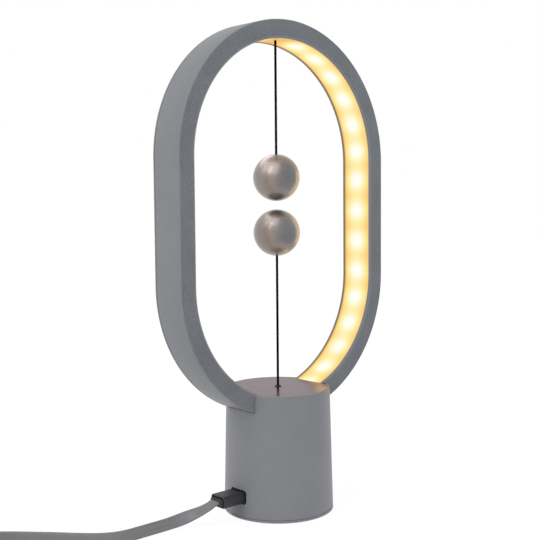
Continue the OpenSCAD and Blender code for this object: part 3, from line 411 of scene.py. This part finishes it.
plug_finish = finish("moulded_dark_plastic", (28, 28, 31), (44, 44, 48), 0.0004, 0.45, 0.00004)
grip_rings = [(0.0066, 0.0019, 0.0005, 0.0268), (0.0098, 0.0053, 0.0011, 0.02661),
              (0.0103, 0.0058, 0.0013, 0.0268), (0.0105, 0.0060, 0.0014, 0.0272),
              (0.0105, 0.0060, 0.0014, 0.0406), (0.0103, 0.0058, 0.0013, 0.0410),
              (0.0099, 0.0054, 0.0011, 0.04121), (0.0091, 0.0048, 0.0010, 0.04121),
              (0.0089, 0.0046, 0.0010, 0.0404), (0.0083, 0.0036, 0.0009, 0.0404),
              (0.0082, 0.0034, 0.0009, 0.0407), (0.0082, 0.0034, 0.0009, 0.0423),
              (0.0079, 0.0031, 0.0008, 0.04256), (0.0072, 0.0024, 0.0006, 0.04261)]
grip_points, grip_faces = loft(grip_rings)
small_plug = add_piece("small_plug_grip", at_port(grip_points), grip_faces, plug_finish,
                       "power_lead", 50)
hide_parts("plug_grip")


# ---------------------------------------------------------------- large plug and tie
# The large plug lies inside the coil, with a steel shell round a white tongue and its four
# contacts. A woven tape tie holds the turns together.
def at_large_plug(points):
    """Points given across, up and along the large plug, where the cable's inner end points."""
    end = Vector(cable_line[-1, :3])
    along = Vector((-math.cos(coil_end), -math.sin(coil_end), 0))
    side = Vector((0, 0, 1)).cross(along)
    return [end + side * p[0] + Vector((0, 0, p[1])) + along * p[2] for p in points]


large_rings = [(0.0080, 0.0032, 0.0008, 0.0), (0.0088, 0.0038, 0.0010, 0.0002),
               (0.0090, 0.0040, 0.0010, 0.0006), (0.0090, 0.0040, 0.0010, 0.0024),
               (0.0092, 0.0042, 0.0010, 0.0029), (0.0140, 0.0060, 0.0020, 0.0030),
               (0.0150, 0.0068, 0.0023, 0.0032), (0.0156, 0.0074, 0.0024, 0.0038),
               (0.0156, 0.0074, 0.0024, 0.0216), (0.0152, 0.0070, 0.0023, 0.0225),
               (0.0146, 0.0064, 0.0020, 0.0229), (0.0140, 0.0058, 0.0018, 0.0230)]
large_points, large_faces = loft(large_rings)
large_plug = add_piece("large_plug_grip", at_large_plug(large_points), large_faces, plug_finish,
                       "power_lead", 50)
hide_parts("big_plug_grip")
bars = [(0.0110, 0.0018, 0, 0.001, 0.0231, 0.0319)]
bars += [(0.0012, 0.0001, side, 0.00008, 0.0240, 0.0312)
         for side in (-0.0035, -0.001, 0.001, 0.0035)]
tongue_vertices, tongue_faces = [], []
for width, height, side, up, near, far in bars:
    edge = min(width, height) / 4
    bar, bar_faces = loft([
        (width - edge, height - edge, edge / 2, near), (width, height, edge, near + edge),
        (width, height, edge, far - edge), (width - edge, height - edge, edge / 2, far)])
    tongue_faces += [tuple(i + len(tongue_vertices) for i in face) for face in bar_faces]
    tongue_vertices += [(x + side, y + up, z) for x, y, z in bar]
white_plastic = finish("white_plastic", (224, 224, 220), (236, 236, 232), 0.0005, 0.45, 0.00001)
gold = finish("gold_plating", (212, 172, 96), (228, 192, 120), 0.0003, 0.3, 0.000004, metallic=1)
tongue = add_piece("large_plug_tongue", at_large_plug(tongue_vertices), tongue_faces,
                   white_plastic, "power_lead")
tongue.data.materials.append(gold)
for face in tongue.data.polygons[len(bar_faces):]:
    face.material_index = 1
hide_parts("big_plug_tongue")


thread_pitch = 0.0009


def woven_finish():
    """Black tape: its threads cross over and under each other, two to a pitch. Raised threads are
    painted lighter and threads under others darker, as painted sheen and shade.
    """
    material = finish("woven_black_tape", (15, 15, 17), (30, 30, 33), 0.0004, 0.8, 0)
    tree, shader = material.node_tree, shader_of(material)
    under = shader["Base Color"].links[0].from_socket
    chart = put(tree, "ShaderNodeUVMap", uv_map="along_and_round").outputs[0]
    way = put(tree, "ShaderNodeSeparateXYZ", {0: chart}).outputs
    waves = [worked(tree, "SINE", worked(tree, "MULTIPLY", way[axis], math.tau / thread_pitch))
             for axis in ("X", "Y")]
    level = ranged(tree, worked(tree, "MULTIPLY", *waves), 0, 1, -1, 1)
    # The weave's height also sets the colour: a painted sheen on the raised threads and painted
    # shade where they dip under.
    dress(tree, shader, blended(tree, level, under, (46, 46, 50)), None, level, 0.00012)
    return material


tie_width, tie_thickness, tie_edge, tie_step = 0.009, 0.0006, 0.00026, 0.0003
tie_overlap, tie_lift, tie_rise = 0.0055, 0.00068, 0.003
tie_angle = coil_from + math.tau * (coil_turns % 1 - 0.5)
tie_middle, tie_half_width, tie_half_height, tie_corner = 0.037315, 0.00525, 0.00365, 0.0018


def tie_line():
    """The strap's middle line: once round the turns in radius and height, then over itself."""
    corner = rounded_outline(2 * tie_half_width, 2 * tie_half_height, tie_corner, 8)
    loop = np.vstack([[0, tie_half_height], corner[9:], corner[:9], [0, tie_half_height]])
    run = np.append(0, np.cumsum(np.linalg.norm(np.diff(loop, axis=0), axis=1)))
    made = []
    for length in np.arange(0, run[-1] + tie_overlap, tie_step):
        x, z = (np.interp(length % run[-1], run, loop[:, k]) for k in (0, 1))
        x1, z1 = (np.interp((length + 0.0001) % run[-1], run, loop[:, k]) for k in (0, 1))
        out = np.array((z1 - z, x - x1)) / math.hypot(x1 - x, z1 - z)
        step = min(max((length - run[-1] + tie_rise) / tie_rise, 0), 1)
        lift = tie_lift * step * step * (3 - 2 * step)
        made.append((np.array((x, z)) + out * lift, out))
    return made


across_tie = rounded_outline(tie_width, tie_thickness, tie_edge, 3)
tie_rings, tie_path = [], []
for (r, z), (out_r, out_z) in tie_line():
    spot = on_coil(tie_middle + r, tie_angle) + (0, 0, z)
    outward = np.array((out_r * math.cos(tie_angle), out_r * math.sin(tie_angle), out_z))
    sideways = np.array((-math.sin(tie_angle), math.cos(tie_angle), 0))
    tie_path.append(spot)
    tie_rings += [spot + sideways * w + outward * t for w, t in across_tie]
tie = add_piece("woven_tie", tie_rings, tube_faces(len(tie_path), len(across_tie)), woven_finish(),
                "power_lead", 60)
chart_tube(tie, np.array(tie_path), across_tie)
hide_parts("cable_tie")


# ---------------------------------------------------------------- foot and bottom cover
# A rubber foot with raised grip dots is let into the underside of the cover, and three
# recessed screws beside it hold the cover to the shell.
def new_tree(name, mesh_in, sizes, counts=()):
    """A tree of geometry nodes. A mesh, sizes, counts and a finish come in, a mesh goes out."""
    tree = bpy.data.node_groups.new(name, "GeometryNodeTree")
    sockets = [(mesh_in, "Geometry"), *((size, "Float") for size in sizes),
               *((number, "Int") for number in counts), ("Finish", "Material")]
    for socket, kind in sockets:
        tree.interface.new_socket(socket, in_out="INPUT", socket_type="NodeSocket" + kind)
    tree.interface.new_socket("Mesh", in_out="OUTPUT", socket_type="NodeSocketGeometry")
    return tree, put(tree, "NodeGroupInput").outputs


def end_tree(tree, geometry, material):
    """Makes the instances real, lays the finish on and hands the mesh out."""
    real = put(tree, "GeometryNodeRealizeInstances", {"Geometry": geometry}).outputs[0]
    coated = put(tree, "GeometryNodeSetMaterial", {"Geometry": real, "Material": material})
    put(tree, "NodeGroupOutput", {"Mesh": coated.outputs[0]})
    return tree


dots_across, dot_spread = 14, 1.3


def dot_tree():
    """Geometry nodes that set flat-topped dots in a staggered pattern on a round pad."""
    tree, given = new_tree("grip_dots", "Pad", ("Pitch", "Pad Radius", "Dot Radius", "Dot Height",
                                                "Pad Underside"))
    wide = worked(tree, "MULTIPLY", given["Pitch"], dots_across)
    grid = put(tree, "GeometryNodeMeshGrid", {"Size X": wide, "Size Y": wide,
                                              "Vertices X": dots_across + 1,
                                              "Vertices Y": dots_across + 1})
    spots = put(tree, "GeometryNodeMeshToPoints", {"Mesh": grid.outputs[0]})
    place = put(tree, "GeometryNodeInputPosition").outputs[0]
    where = put(tree, "ShaderNodeSeparateXYZ", {0: place}).outputs
    row = worked(tree, "ROUND", worked(tree, "DIVIDE", where["Y"], given["Pitch"]))
    odd = worked(tree, "FLOORED_MODULO", row, 2)
    half = worked(tree, "MULTIPLY", worked(tree, "MULTIPLY", odd, given["Pitch"]), 0.5)
    shift = put(tree, "ShaderNodeCombineXYZ", {"X": half, "Z": given["Pad Underside"]}).outputs[0]
    laid = put(tree, "GeometryNodeSetPosition", {"Geometry": spots.outputs[0], "Offset": shift})
    flat = put(tree, "ShaderNodeCombineXYZ", {"X": where["X"], "Y": where["Y"]}).outputs[0]
    far = put(tree, "ShaderNodeVectorMath", {0: flat}, operation="LENGTH").outputs["Value"]
    off = put(tree, "FunctionNodeCompare", {0: far, 1: given["Pad Radius"]},
              operation="GREATER_THAN")
    kept = put(tree, "GeometryNodeDeleteGeometry", {"Geometry": laid.outputs[0],
                                                    "Selection": off.outputs[0]}, domain="POINT")
    wider = worked(tree, "MULTIPLY", given["Dot Radius"], dot_spread)
    dot = put(tree, "GeometryNodeMeshCone", {"Vertices": 10, "Radius Top": wider,
                                             "Radius Bottom": given["Dot Radius"],
                                             "Depth": given["Dot Height"]})
    dots = put(tree, "GeometryNodeInstanceOnPoints", {"Points": kept.outputs[0],
                                                      "Instance": dot.outputs["Mesh"]})
    down = worked(tree, "MULTIPLY", given["Dot Height"], -1)
    lower = put(tree, "GeometryNodeTransform", {
        "Geometry": dots.outputs[0],
        "Translation": put(tree, "ShaderNodeCombineXYZ", {"Z": down}).outputs[0]})
    joined = put(tree, "GeometryNodeJoinGeometry")
    tree.links.new(given["Pad"], joined.inputs[0])
    tree.links.new(lower.outputs[0], joined.inputs[0])
    return end_tree(tree, joined.outputs[0], given["Finish"])


def turned(outline, middle, steps=96):
    """Turns an outline of radius and height about the upright axis. A radius of 0 is a pole."""
    vertices, rows = [], []
    for radius, height in outline:
        rows.append(list(range(len(vertices), len(vertices) + (steps if radius else 1))) *
                    (1 if radius else steps))
        for k in range(steps if radius else 1):
            a = math.tau * k / steps
            vertices.append((middle[0] + radius * math.cos(a), middle[1] + radius * math.sin(a),
                             middle[2] + height))
    faces = [tuple(dict.fromkeys((low[k], low[(k + 1) % steps], high[(k + 1) % steps], high[k])))
             for low, high in zip(rows, rows[1:]) for k in range(steps)]
    return vertices, faces


def grown(name, draft, tree, sizes, material, body, sharp=30):
    """Runs a tree of geometry nodes on a draft mesh and keeps the plain mesh that it makes."""
    grower = draft.modifiers.new("grower", "NODES")
    grower.node_group = tree
    sockets = {s.name: s.identifier for s in tree.interface.items_tree if s.in_out == "INPUT"}
    for size, value in sizes.items():
        grower[sockets[size]] = value
    grower[sockets["Finish"]] = material
    made = bpy.data.meshes.new_from_object(
        draft.evaluated_get(bpy.context.evaluated_depsgraph_get()))
    made.name = name
    bpy.data.objects.remove(draft)
    made.polygons.foreach_set("use_smooth", [True] * len(made.polygons))
    made.set_sharp_from_angle(angle=math.radians(sharp))
    piece = add_object(name, made)
    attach(piece, body)
    return piece


def draft_of(name, vertices, edges, faces):
    """A mesh that a tree of geometry nodes starts from."""
    mesh = bpy.data.meshes.new(name)
    mesh.from_pydata([tuple(float(c) for c in v) for v in vertices], edges, faces)
    return add_object(name, mesh)


def closed_draft(name, outline):
    """A closed outline as a draft."""
    count = len(outline)
    return draft_of(name + "_outline", outline, [(i, (i + 1) % count) for i in range(count)], [])


rubber = finish("black_rubber", (26, 26, 27), (38, 38, 38), 0.0004, 0.72, 0.00003)
dot_height, foot_radius, foot_top = 0.0003, 0.0195, 0.0012
foot_outline = [(0, dot_height), (0.0188, dot_height), (0.0193, 0.00042), (foot_radius, 0.0007),
                (foot_radius, foot_top), (0, foot_top)]
foot_points, foot_faces = turned(foot_outline, (0, 0, 0), 120)
foot = grown("rubber_foot", draft_of("foot_draft", foot_points, [], foot_faces), dot_tree(),
             {"Pitch": 0.0031, "Pad Radius": 0.0175, "Dot Radius": 0.0007, "Dot Height": dot_height,
              "Pad Underside": dot_height}, rubber, "base")
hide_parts("foot_pad")


def coat(material, *names):
    """Gives CAD nodes a finish of their own."""
    for name in names:
        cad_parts[name].data.materials.clear()
        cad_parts[name].data.materials.append(material)


base_paint = finish("base_grey_paint", (126, 127, 131), (133, 134, 138), 0.0011, 0.46, 0.00002)
bright_steel = finish("bright_steel", (176, 177, 180), (198, 199, 202), 0.0003, 0.3, 0.000004,
                      metallic=1)
coat(base_paint, "base_shell", "bottom_cover")
coat(bright_steel, "cover_screws", "clamp_screws", "board_screws", "switch_screws")
cast_steel = finish("cast_weight_steel", (92, 92, 94), (120, 119, 118), 0.0009, 0.55, 0.00006,
                    metallic=0.8)
coat(cast_steel, "counterweight")


# ---------------------------------------------------------------- top plate and string bush
# A round plate of warm brushed metal lies in the shell's top, cut out where the ring's feet
# pass. A black bush is pressed into its middle, where the lower string comes out.
def brushed_finish():
    """Metal brushed in fine strokes along the ring's plane, under a thin warm lacquer."""
    material, tree, shader = new_material("brushed_warm_metal", Metallic=0.95,
                                          Specular_Tint=(0.62, 0.58, 0.6, 1))
    place = put(tree, "ShaderNodeTexCoord").outputs["Object"]
    strokes = noise(tree, stretched(tree, place, (16, 800, 16), -12), 1, 8, 0.75)
    both = mixed_values(tree, 0.1, strokes, noise(tree, place, 110, 2))
    span = ranged(tree, both, 0, 1, 0.36, 0.64)
    dress(tree, shader, blended(tree, span, (132, 123, 127), (153, 144, 148)),
          ranged(tree, span, 0.17, 0.27), strokes, 0.000002, 0.5)
    return material


coat(brushed_finish(), "base_top_plate")
black_plastic = finish("black_plastic", (14, 14, 15), (26, 26, 27), 0.0003, 0.5, 0.00002)
bush_hole, bush_sleeve, bush_low, plate_top = 0.0009, 0.00145, 0.0598, 0.0640
bush_outline = [(bush_hole, bush_low), (bush_sleeve, bush_low), (bush_sleeve, plate_top),
                (0.0017, plate_top), (0.00172, 0.0642), (0.0016, 0.0644), (0.00125, 0.06448),
                (0.00095, 0.0644), (bush_hole, 0.0642), (bush_hole, bush_low)]
bush_points, bush_faces = turned(bush_outline, (0, 0, 0), 48)
bush = add_piece("string_bush", bush_points, bush_faces, black_plastic, "base", 50)
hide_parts("string_guide")


# ---------------------------------------------------------------- switch and its holder
# Under the plate a clamp holds the ring's foot, and a bent steel bracket carries a small
# lever switch. The lower string pulls the lever, which presses the switch's red plunger.
coat(finish("clamp_plastic", (74, 75, 78), (86, 87, 90), 0.0006, 0.5, 0.00003), "ring_clamp")
bent_steel = finish("bent_sheet_steel", (150, 151, 154), (172, 173, 176), 0.0008, 0.36, 0.000008,
                    metallic=1, stretch=(0.15, 1, 1))
coat(bent_steel, "switch_bracket")
coat(black_plastic, "switch_body")
coat(finish("red_plastic", (150, 26, 22), (170, 34, 28), 0.0004, 0.42, 0.00001), "switch_plunger")
coat(bright_steel, "switch_lever", "lever_pivot", "lever_spring")
brass = finish("plated_brass", (196, 162, 92), (214, 184, 112), 0.0003, 0.32, 0.000005, metallic=1)
coat(brass, "switch_terminals")


# ---------------------------------------------------------------- power board and wires
# A small green board behind the port carries the socket and the parts that feed the lights.
# Red and black insulated wires run from it to the switch and up through the ring's foot.
def board_finish():
    """Green lacquer over copper: paler tracks run square to each other under it."""
    material = finish("green_board", (18, 74, 40), (24, 88, 48), 0.0008, 0.35, 0.00001)
    tree, shader = material.node_tree, shader_of(material)
    under = shader["Base Color"].links[0].from_socket
    place = put(tree, "ShaderNodeTexCoord").outputs["Object"]
    tracks = put(tree, "ShaderNodeTexBrick", {"Vector": place, "Scale": 260, "Mortar Size": 0.06,
                                              "Mortar Smooth": 0.1},
                 offset=0.35, squash=0.6, squash_frequency=3)
    dress(tree, shader, blended(tree, tracks.outputs["Fac"], under, (58, 132, 84)))
    return material


coat(board_finish(), "power_board")
coat(finish("chip_black", (20, 20, 22), (34, 34, 36), 0.0005, 0.48, 0.00002), "board_parts")
drawn_steel = finish("drawn_steel_can", (178, 180, 184), (196, 198, 201), 0.0004, 0.3, 0.000004,
                     metallic=1, stretch=(0.1, 1, 1))
coat(drawn_steel, "power_socket", "plug_shell", "big_plug_shell")
tongue_plastic = finish("socket_tongue_plastic", (28, 28, 30), (40, 40, 42), 0.0003, 0.5, 0.00001)
coat(tongue_plastic, "socket_tongue")
coat(finish("red_insulation", (168, 30, 26), (184, 40, 34), 0.0006, 0.4, 0.00001), "strip_wires")
coat(finish("black_insulation", (22, 22, 24), (34, 34, 36), 0.0006, 0.42, 0.00001), "switch_wires")


# ---------------------------------------------------------------- ring
# The ring is a closed oval channel in painted metal, open towards its middle: an outer wall,
# a front wall with a bevelled inner edge, and a back cover that is pressed in behind.
ring_radius, ring_inside, ring_half_depth = 0.0695, 0.0602, 0.0102
ring_low, ring_high, ring_half_height = 0.120, 0.181, 0.0305
ring_middle = (ring_low + ring_high) / 2


def oval_tree():
    """Geometry nodes that carry an outline once round an upright oval, in even steps."""
    tree, given = new_tree("oval_sweep", "Outline", ("Radius", "Half Height", "Middle"),
                           ("Round Steps", "Steps"))
    loop = put(tree, "GeometryNodeMeshCircle", {"Vertices": given["Round Steps"], "Radius": 1.0})
    count = worked(tree, "ADD", put(tree, "GeometryNodeInputIndex").outputs[0], 0.5)
    part = worked(tree, "DIVIDE", count, given["Round Steps"])
    angle = worked(tree, "MULTIPLY", part, math.tau)
    sine, cosine = worked(tree, "SINE", angle), worked(tree, "COSINE", angle)
    lift = worked(tree, "MULTIPLY_ADD", worked(tree, "SIGN", sine), given["Half Height"],
                  given["Middle"])
    x = worked(tree, "MULTIPLY", worked(tree, "MULTIPLY", cosine, given["Radius"]), -1)
    z = worked(tree, "MULTIPLY_ADD", sine, given["Radius"], lift)
    spot = put(tree, "ShaderNodeCombineXYZ", {"X": x, "Z": z}).outputs[0]
    laid = put(tree, "GeometryNodeSetPosition", {"Geometry": loop.outputs[0], "Position": spot})
    line = put(tree, "GeometryNodeMeshToCurve", {"Mesh": laid.outputs[0]})
    even = put(tree, "GeometryNodeResampleCurve", {"Curve": line.outputs[0],
                                                   "Count": given["Steps"]})
    outline = put(tree, "GeometryNodeMeshToCurve", {"Mesh": given["Outline"]})
    swept = put(tree, "GeometryNodeCurveToMesh", {"Curve": even.outputs[0],
                                                  "Profile Curve": outline.outputs[0]})
    return end_tree(tree, swept.outputs[0], given["Finish"])


def rounded_corners(points, radii, steps=3):
    """A closed outline whose corners are rounded, each by its own radius."""
    made = []
    count = len(points)
    for i, (point, radius) in enumerate(zip(points, radii)):
        p = np.array(point)
        if not radius:
            made.append(p)
            continue
        before, after = (np.array(points[(i + k) % count]) - p for k in (-1, 1))
        before, after = before / np.linalg.norm(before), after / np.linalg.norm(after)
        turn = math.acos(float(np.clip(before @ after, -1, 1)))
        reach = radius / math.tan(turn / 2)
        for k in range(steps + 1):
            t = k / steps
            a, b = p + before * reach, p + after * reach
            made.append((1 - t) ** 2 * a + 2 * t * (1 - t) * p + t ** 2 * b)
    return made


oval = oval_tree()


def sweep_oval(name, points, radii, material, body="base"):
    """Sweeps an outline of distances along y and out from the oval's middle, in metres."""
    outline = [(-y, ring_radius - r, 0) for y, r in rounded_corners(points, radii)]
    return grown(name, closed_draft(name, outline), oval, {
        "Radius": ring_radius, "Half Height": ring_half_height, "Middle": ring_middle,
        "Round Steps": 288, "Steps": 480}, material, body)


side_paint = finish("satin_grey_paint", (123, 124, 129), (130, 131, 136), 0.0011, 0.46, 0.00002)
front_paint_painted_shade = finish("grained_grey_with_painted_shade", (102, 104, 109), (122, 124, 129), 0.0010, 0.52, 0.00005)
channel = sweep_oval(
    "ring_channel",
    [(-0.0090, ring_inside), (-0.0090, 0.0679), (0.0088, 0.0679), (0.0088, ring_radius),
     (-ring_half_depth, ring_radius), (-ring_half_depth, 0.0612), (-0.0096, ring_inside)],
    [0, 0, 0, 0.0001, 0.0005, 0.0002, 0], side_paint)
# The faces turned to the front take a second paint. Its coarser grain is the paint's own. Its
# darker grey is painted shade for the front, which gets less of the left lamp than the sides.
channel.data.materials.append(front_paint_painted_shade)
for face in channel.data.polygons:
    if face.normal.y < -0.99:
        face.material_index = 1
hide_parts("ring_body")
back_cover = sweep_oval(
    "ring_back",
    [(ring_half_depth, ring_inside), (ring_half_depth, ring_radius), (0.0090, ring_radius),
     (0.0090, 0.06785), (0.0076, 0.06785), (0.0076, 0.06665), (0.0090, 0.06665),
     (0.0090, ring_inside)],
    [0.0003, 0.0004, 0.0001, 0, 0, 0, 0, 0.0001], side_paint)
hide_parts("ring_back_cover")


# ---------------------------------------------------------------- light strip
# A white flexible strip lies inside the outer wall with square warm lights on it, a small
# black resistor to every third one.
strip_film = finish("white_strip_film", (226, 226, 220), (236, 236, 231), 0.001, 0.5, 0.00001)
coat(strip_film, "light_strip")
coat(finish("resistor_black", (18, 18, 18), (30, 30, 30), 0.0003, 0.5, 0.00001), "strip_resistors")
warm_light = finish("warm_light", (250, 226, 150), (255, 240, 190), 0.0008, 0.4, 0.00001)
shader_of(warm_light)["Emission Color"].default_value = tone(255, 226, 150)
shader_of(warm_light)["Emission Strength"].default_value = 1.0
coat(warm_light, "lights")
light_places = []
light_radius, strip_radius = 0.0662, 0.06785
quarter = strip_radius * math.pi / 2
middle_light, light_pitch, lights_a_side = -0.0003, 0.01667, 15
for number in (*range(-lights_a_side, 0), *range(1, lights_a_side + 1)):
    along = middle_light + light_pitch * number
    size, side = abs(along), math.copysign(1, along)
    if size <= quarter:
        angle, height = size / strip_radius, ring_high
    elif size <= quarter + 2 * ring_half_height:
        angle, height = math.pi / 2, ring_high - (size - quarter)
    else:
        low = size - quarter - 2 * ring_half_height
        angle, height = math.pi / 2 + low / strip_radius, ring_low
    light_places.append((side * math.sin(angle) * light_radius, 0,
                         height + math.cos(angle) * light_radius))


# ---------------------------------------------------------------- diffuser
# An opal plastic band covers the lights and lies a little back from the ring's inner edges.
# Each light shows through as a soft pale spot. The band shines brighter than a picture can
# hold, so four lamps that show in gloss alone stand for it in the balls and the plate.
def diffuser_finish():
    """Opal plastic that shines by itself, from gold where little light comes through to white."""
    material, tree, shader = new_material("lit_opal_plastic", Base_Color=tone(46, 40, 26),
                                          Specular_IOR_Level=0.2, Emission_Strength=0.97)
    glow = put(tree, "ShaderNodeAttribute", attribute_name="glow").outputs["Fac"]
    ramp = put(tree, "ShaderNodeValToRGB", {"Fac": glow})
    stops = ramp.color_ramp.elements
    stops[0].position, stops[0].color = 0.04, tone(226, 168, 74)
    stops[1].position, stops[1].color = 0.92, tone(255, 255, 247)
    for position, colour in ((0.13, (243, 199, 106)), (0.22, (251, 218, 134)),
                             (0.36, (254, 237, 166)), (0.6, (255, 249, 214))):
        stops.new(position).color = tone(*colour)
    tree.links.new(ramp.outputs[0], shader["Emission Color"])
    haze = noise(tree, put(tree, "ShaderNodeTexCoord").outputs["Object"], 900, 2)
    dress(tree, shader, None, ranged(tree, haze, 0.42, 0.55), haze, 0.00002, 0.5)
    return material


band_half, band_radius, band_back, band_steps = 0.0089, 0.0605, 0.0617, 12
rows = [band_half * (2 * k / band_steps - 1) for k in range(band_steps + 1)]
band_outline = [(y, band_radius) for y in rows] + [(-y, band_back) for y in rows]
diffuser = sweep_oval("diffuser_band", band_outline, [0] * len(band_outline), diffuser_finish())
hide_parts("diffuser")
spot_core, spot_fade = 0.0057, 0.0070
last_light_level, level_a_light = 0.84, 0.05
back_edge, back_edge_painted_shade = 0.0074, 0.2


def light_the_band(mesh):
    """Stores on each point how much light reaches it from the lights behind the band. The last
    lights at the strip's ends are weaker, and the band's back edge is painted darker, as shade
    where it lies back in the recess."""
    points = np.zeros(len(mesh.vertices) * 3)
    mesh.vertices.foreach_get("co", points)
    points = points.reshape(-1, 3)
    level = np.zeros(len(points))
    for number, place in enumerate(np.array(light_places)):
        from_top = abs(number + 0.5 - lights_a_side)
        power = last_light_level + level_a_light * min(from_top, lights_a_side - from_top)
        near = np.clip(((points - place) ** 2).sum(1) - spot_core ** 2, 0, None)
        level += min(power, 1) / (1 + near / spot_fade ** 2) ** 2
    level = np.clip(level, 0, 1)
    # Painted shade: the glow fades towards the band's back edge, where the recess shades it.
    level *= np.interp(points[:, 1], [back_edge, band_half], [1, back_edge_painted_shade])
    glow = mesh.attributes.new("glow", "FLOAT", "POINT")
    glow.data.foreach_set("value", level.astype(np.float32))


light_the_band(diffuser.data)
soft_lamp("right_band_light", (0.0600, -0.0065, ring_middle), (0, -0.0065, ring_middle),
          0.030, 0.075, 0.0066, (255, 198, 100), in_matt=False)
soft_lamp("right_edge_light", (0.0600, -0.0245, ring_middle), (0, -0.0245, ring_middle),
          0.006, 0.085, 0.0024, (255, 228, 226), in_matt=False)
soft_lamp("ball_top_light", (-0.005, 0.045, 0.225), (0, 0, 0.178), 0.07, 0.03, 0.0120,
          (255, 240, 238), in_matt=False)
soft_lamp("right_curve_light", (0.0421, 0, 0.0779), (0, 0, ring_low), 0.017, 0.040, 0.0040,
          (255, 176, 48), in_matt=False)
coat(bright_steel, "string_anchor")


# ---------------------------------------------------------------- strings
# The strings are twisted from three black strands. The upper one turns in a short end that
# comes out of the diffuser, and the lower one slides down into the base as its ball is let go.
def string_tree():
    """Geometry nodes that twist a three-lobed outline along an upright line with round ends."""
    tree, given = new_tree("twisted_string", "Outline", ("Low End", "High End", "Radius", "Lay"),
                           ("Steps",))
    ends = [put(tree, "ShaderNodeCombineXYZ", {"Z": given[name]}).outputs[0]
            for name in ("Low End", "High End")]
    line = put(tree, "GeometryNodeCurvePrimitiveLine", {"Start": ends[0], "End": ends[1]})
    fine = put(tree, "GeometryNodeResampleCurve", {"Curve": line.outputs[0],
                                                   "Count": given["Steps"]})
    part = put(tree, "GeometryNodeSplineParameter").outputs
    turns = worked(tree, "DIVIDE", part["Length"], given["Lay"])
    tilted = put(tree, "GeometryNodeSetCurveTilt", {
        "Curve": fine.outputs[0], "Tilt": worked(tree, "MULTIPLY", turns, math.tau)})
    whole = worked(tree, "SUBTRACT", given["High End"], given["Low End"])
    to_end = worked(tree, "SUBTRACT", whole, part["Length"])
    near = worked(tree, "DIVIDE", worked(tree, "MINIMUM", part["Length"], to_end), given["Radius"])
    back = worked(tree, "SUBTRACT", 1, worked(tree, "MINIMUM", near, 1))
    bow = worked(tree, "SUBTRACT", 1, worked(tree, "MULTIPLY", back, back))
    round_end = worked(tree, "SQRT", worked(tree, "MAXIMUM", bow, 0.0004))
    outline = put(tree, "GeometryNodeMeshToCurve", {"Mesh": given["Outline"]})
    swept = put(tree, "GeometryNodeCurveToMesh", {"Curve": tilted.outputs[0], "Scale": round_end,
                                                  "Profile Curve": outline.outputs[0],
                                                  "Fill Caps": True})
    return end_tree(tree, swept.outputs[0], given["Finish"])


string_radius, string_lay, string_step, string_sides = 0.0006, 0.0042, 0.00025, 24
strand_mean, strand_bulge = 1.05, 0.06
string_twist = string_tree()
string_finish = finish("black_string", (2, 2, 2), (8, 8, 8), 0.00015, 0.85, 0.00002, specular=0.06)


def twist_string(name, low, high, body):
    """A twisted string between two heights on the lamp's axis."""
    outline = []
    for a in np.linspace(0, math.tau, string_sides, False):
        r = (strand_mean + strand_bulge * math.cos(3 * a)) * string_radius
        outline.append((r * math.cos(a), r * math.sin(a), 0))
    steps = max(round((high - low) / string_step), 12)
    return grown(name, closed_draft(name, outline), string_twist, {
        "Low End": low, "High End": high, "Radius": string_radius, "Lay": string_lay,
        "Steps": steps}, string_finish, body, 70)


upper_pivot, lower_pivot = 0.24065, 0.06485
anchor_knot, in_upper_ball, in_lower_ball, ball_drop = 0.2449, 0.1815, 0.1336, 0.0668
string_end = twist_string("upper_string_end", upper_pivot - string_radius, anchor_knot, "base")
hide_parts("anchor_cord")
upper_string = twist_string("upper_string_twist", in_upper_ball, upper_pivot + string_radius,
                            "upper_ball")
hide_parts("upper_string")
lower_string = twist_string("lower_string_twist", lower_pivot - string_radius, in_lower_ball,
                            "lower_stem")
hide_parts("lower_string")
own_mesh(lower_string)
coat(string_finish, "upper_bend", "lower_bend", "lower_knot", "pull_string")


# ---------------------------------------------------------------- balls
# Each ball is two turned cups in satin champagne metal under a clear lacquer. They meet
# without a seam to be seen, with a magnet inside and a small hole for the string.
ball_radius, ball_hole, hole_depth = 0.012, 0.0009, 0.0012
upper_ball_height, lower_ball_height = 0.1722, 0.1440
ball_finish = finish("satin_champagne", (128, 118, 114), (143, 134, 130), 0.0005, 0.42, 0.000004,
                     metallic=0.9, drift=120, uneven=0.02)
shader_of(ball_finish)["Coat Weight"].default_value = 0.8
shader_of(ball_finish)["Coat Roughness"].default_value = 0.04


def ball_outline(hole_up):
    """From the closed pole to the string hole's rim, over it and into the hole."""
    rim = math.asin(ball_hole / ball_radius)
    top = ball_radius * math.cos(rim)
    points = [(0, -ball_radius)] + [(ball_radius * math.sin(a), -ball_radius * math.cos(a))
                                    for a in np.linspace(0, math.pi - rim - 0.02, 49)[1:]]
    points += [(ball_hole + 0.00008, top - 0.00003), (ball_hole, top - 0.00012),
               (ball_hole, top - hole_depth), (0, top - hole_depth)]
    return points if hole_up else [(r, -z) for r, z in points[::-1]]


for name, height, hole_up in (("upper_ball", upper_ball_height, True),
                              ("lower_ball", lower_ball_height, False)):
    ball_points, ball_faces = turned(ball_outline(hole_up), (0, 0, height), 128)
    ball = add_piece(name + "_shell", ball_points, ball_faces, ball_finish, name, 30)
    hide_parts(name + "_cap", name + "_cup")
nickel = finish("nickel_plating", (168, 168, 170), (186, 186, 188), 0.0004, 0.26, 0.000004,
                metallic=1)
coat(nickel, "upper_magnet", "lower_magnet")
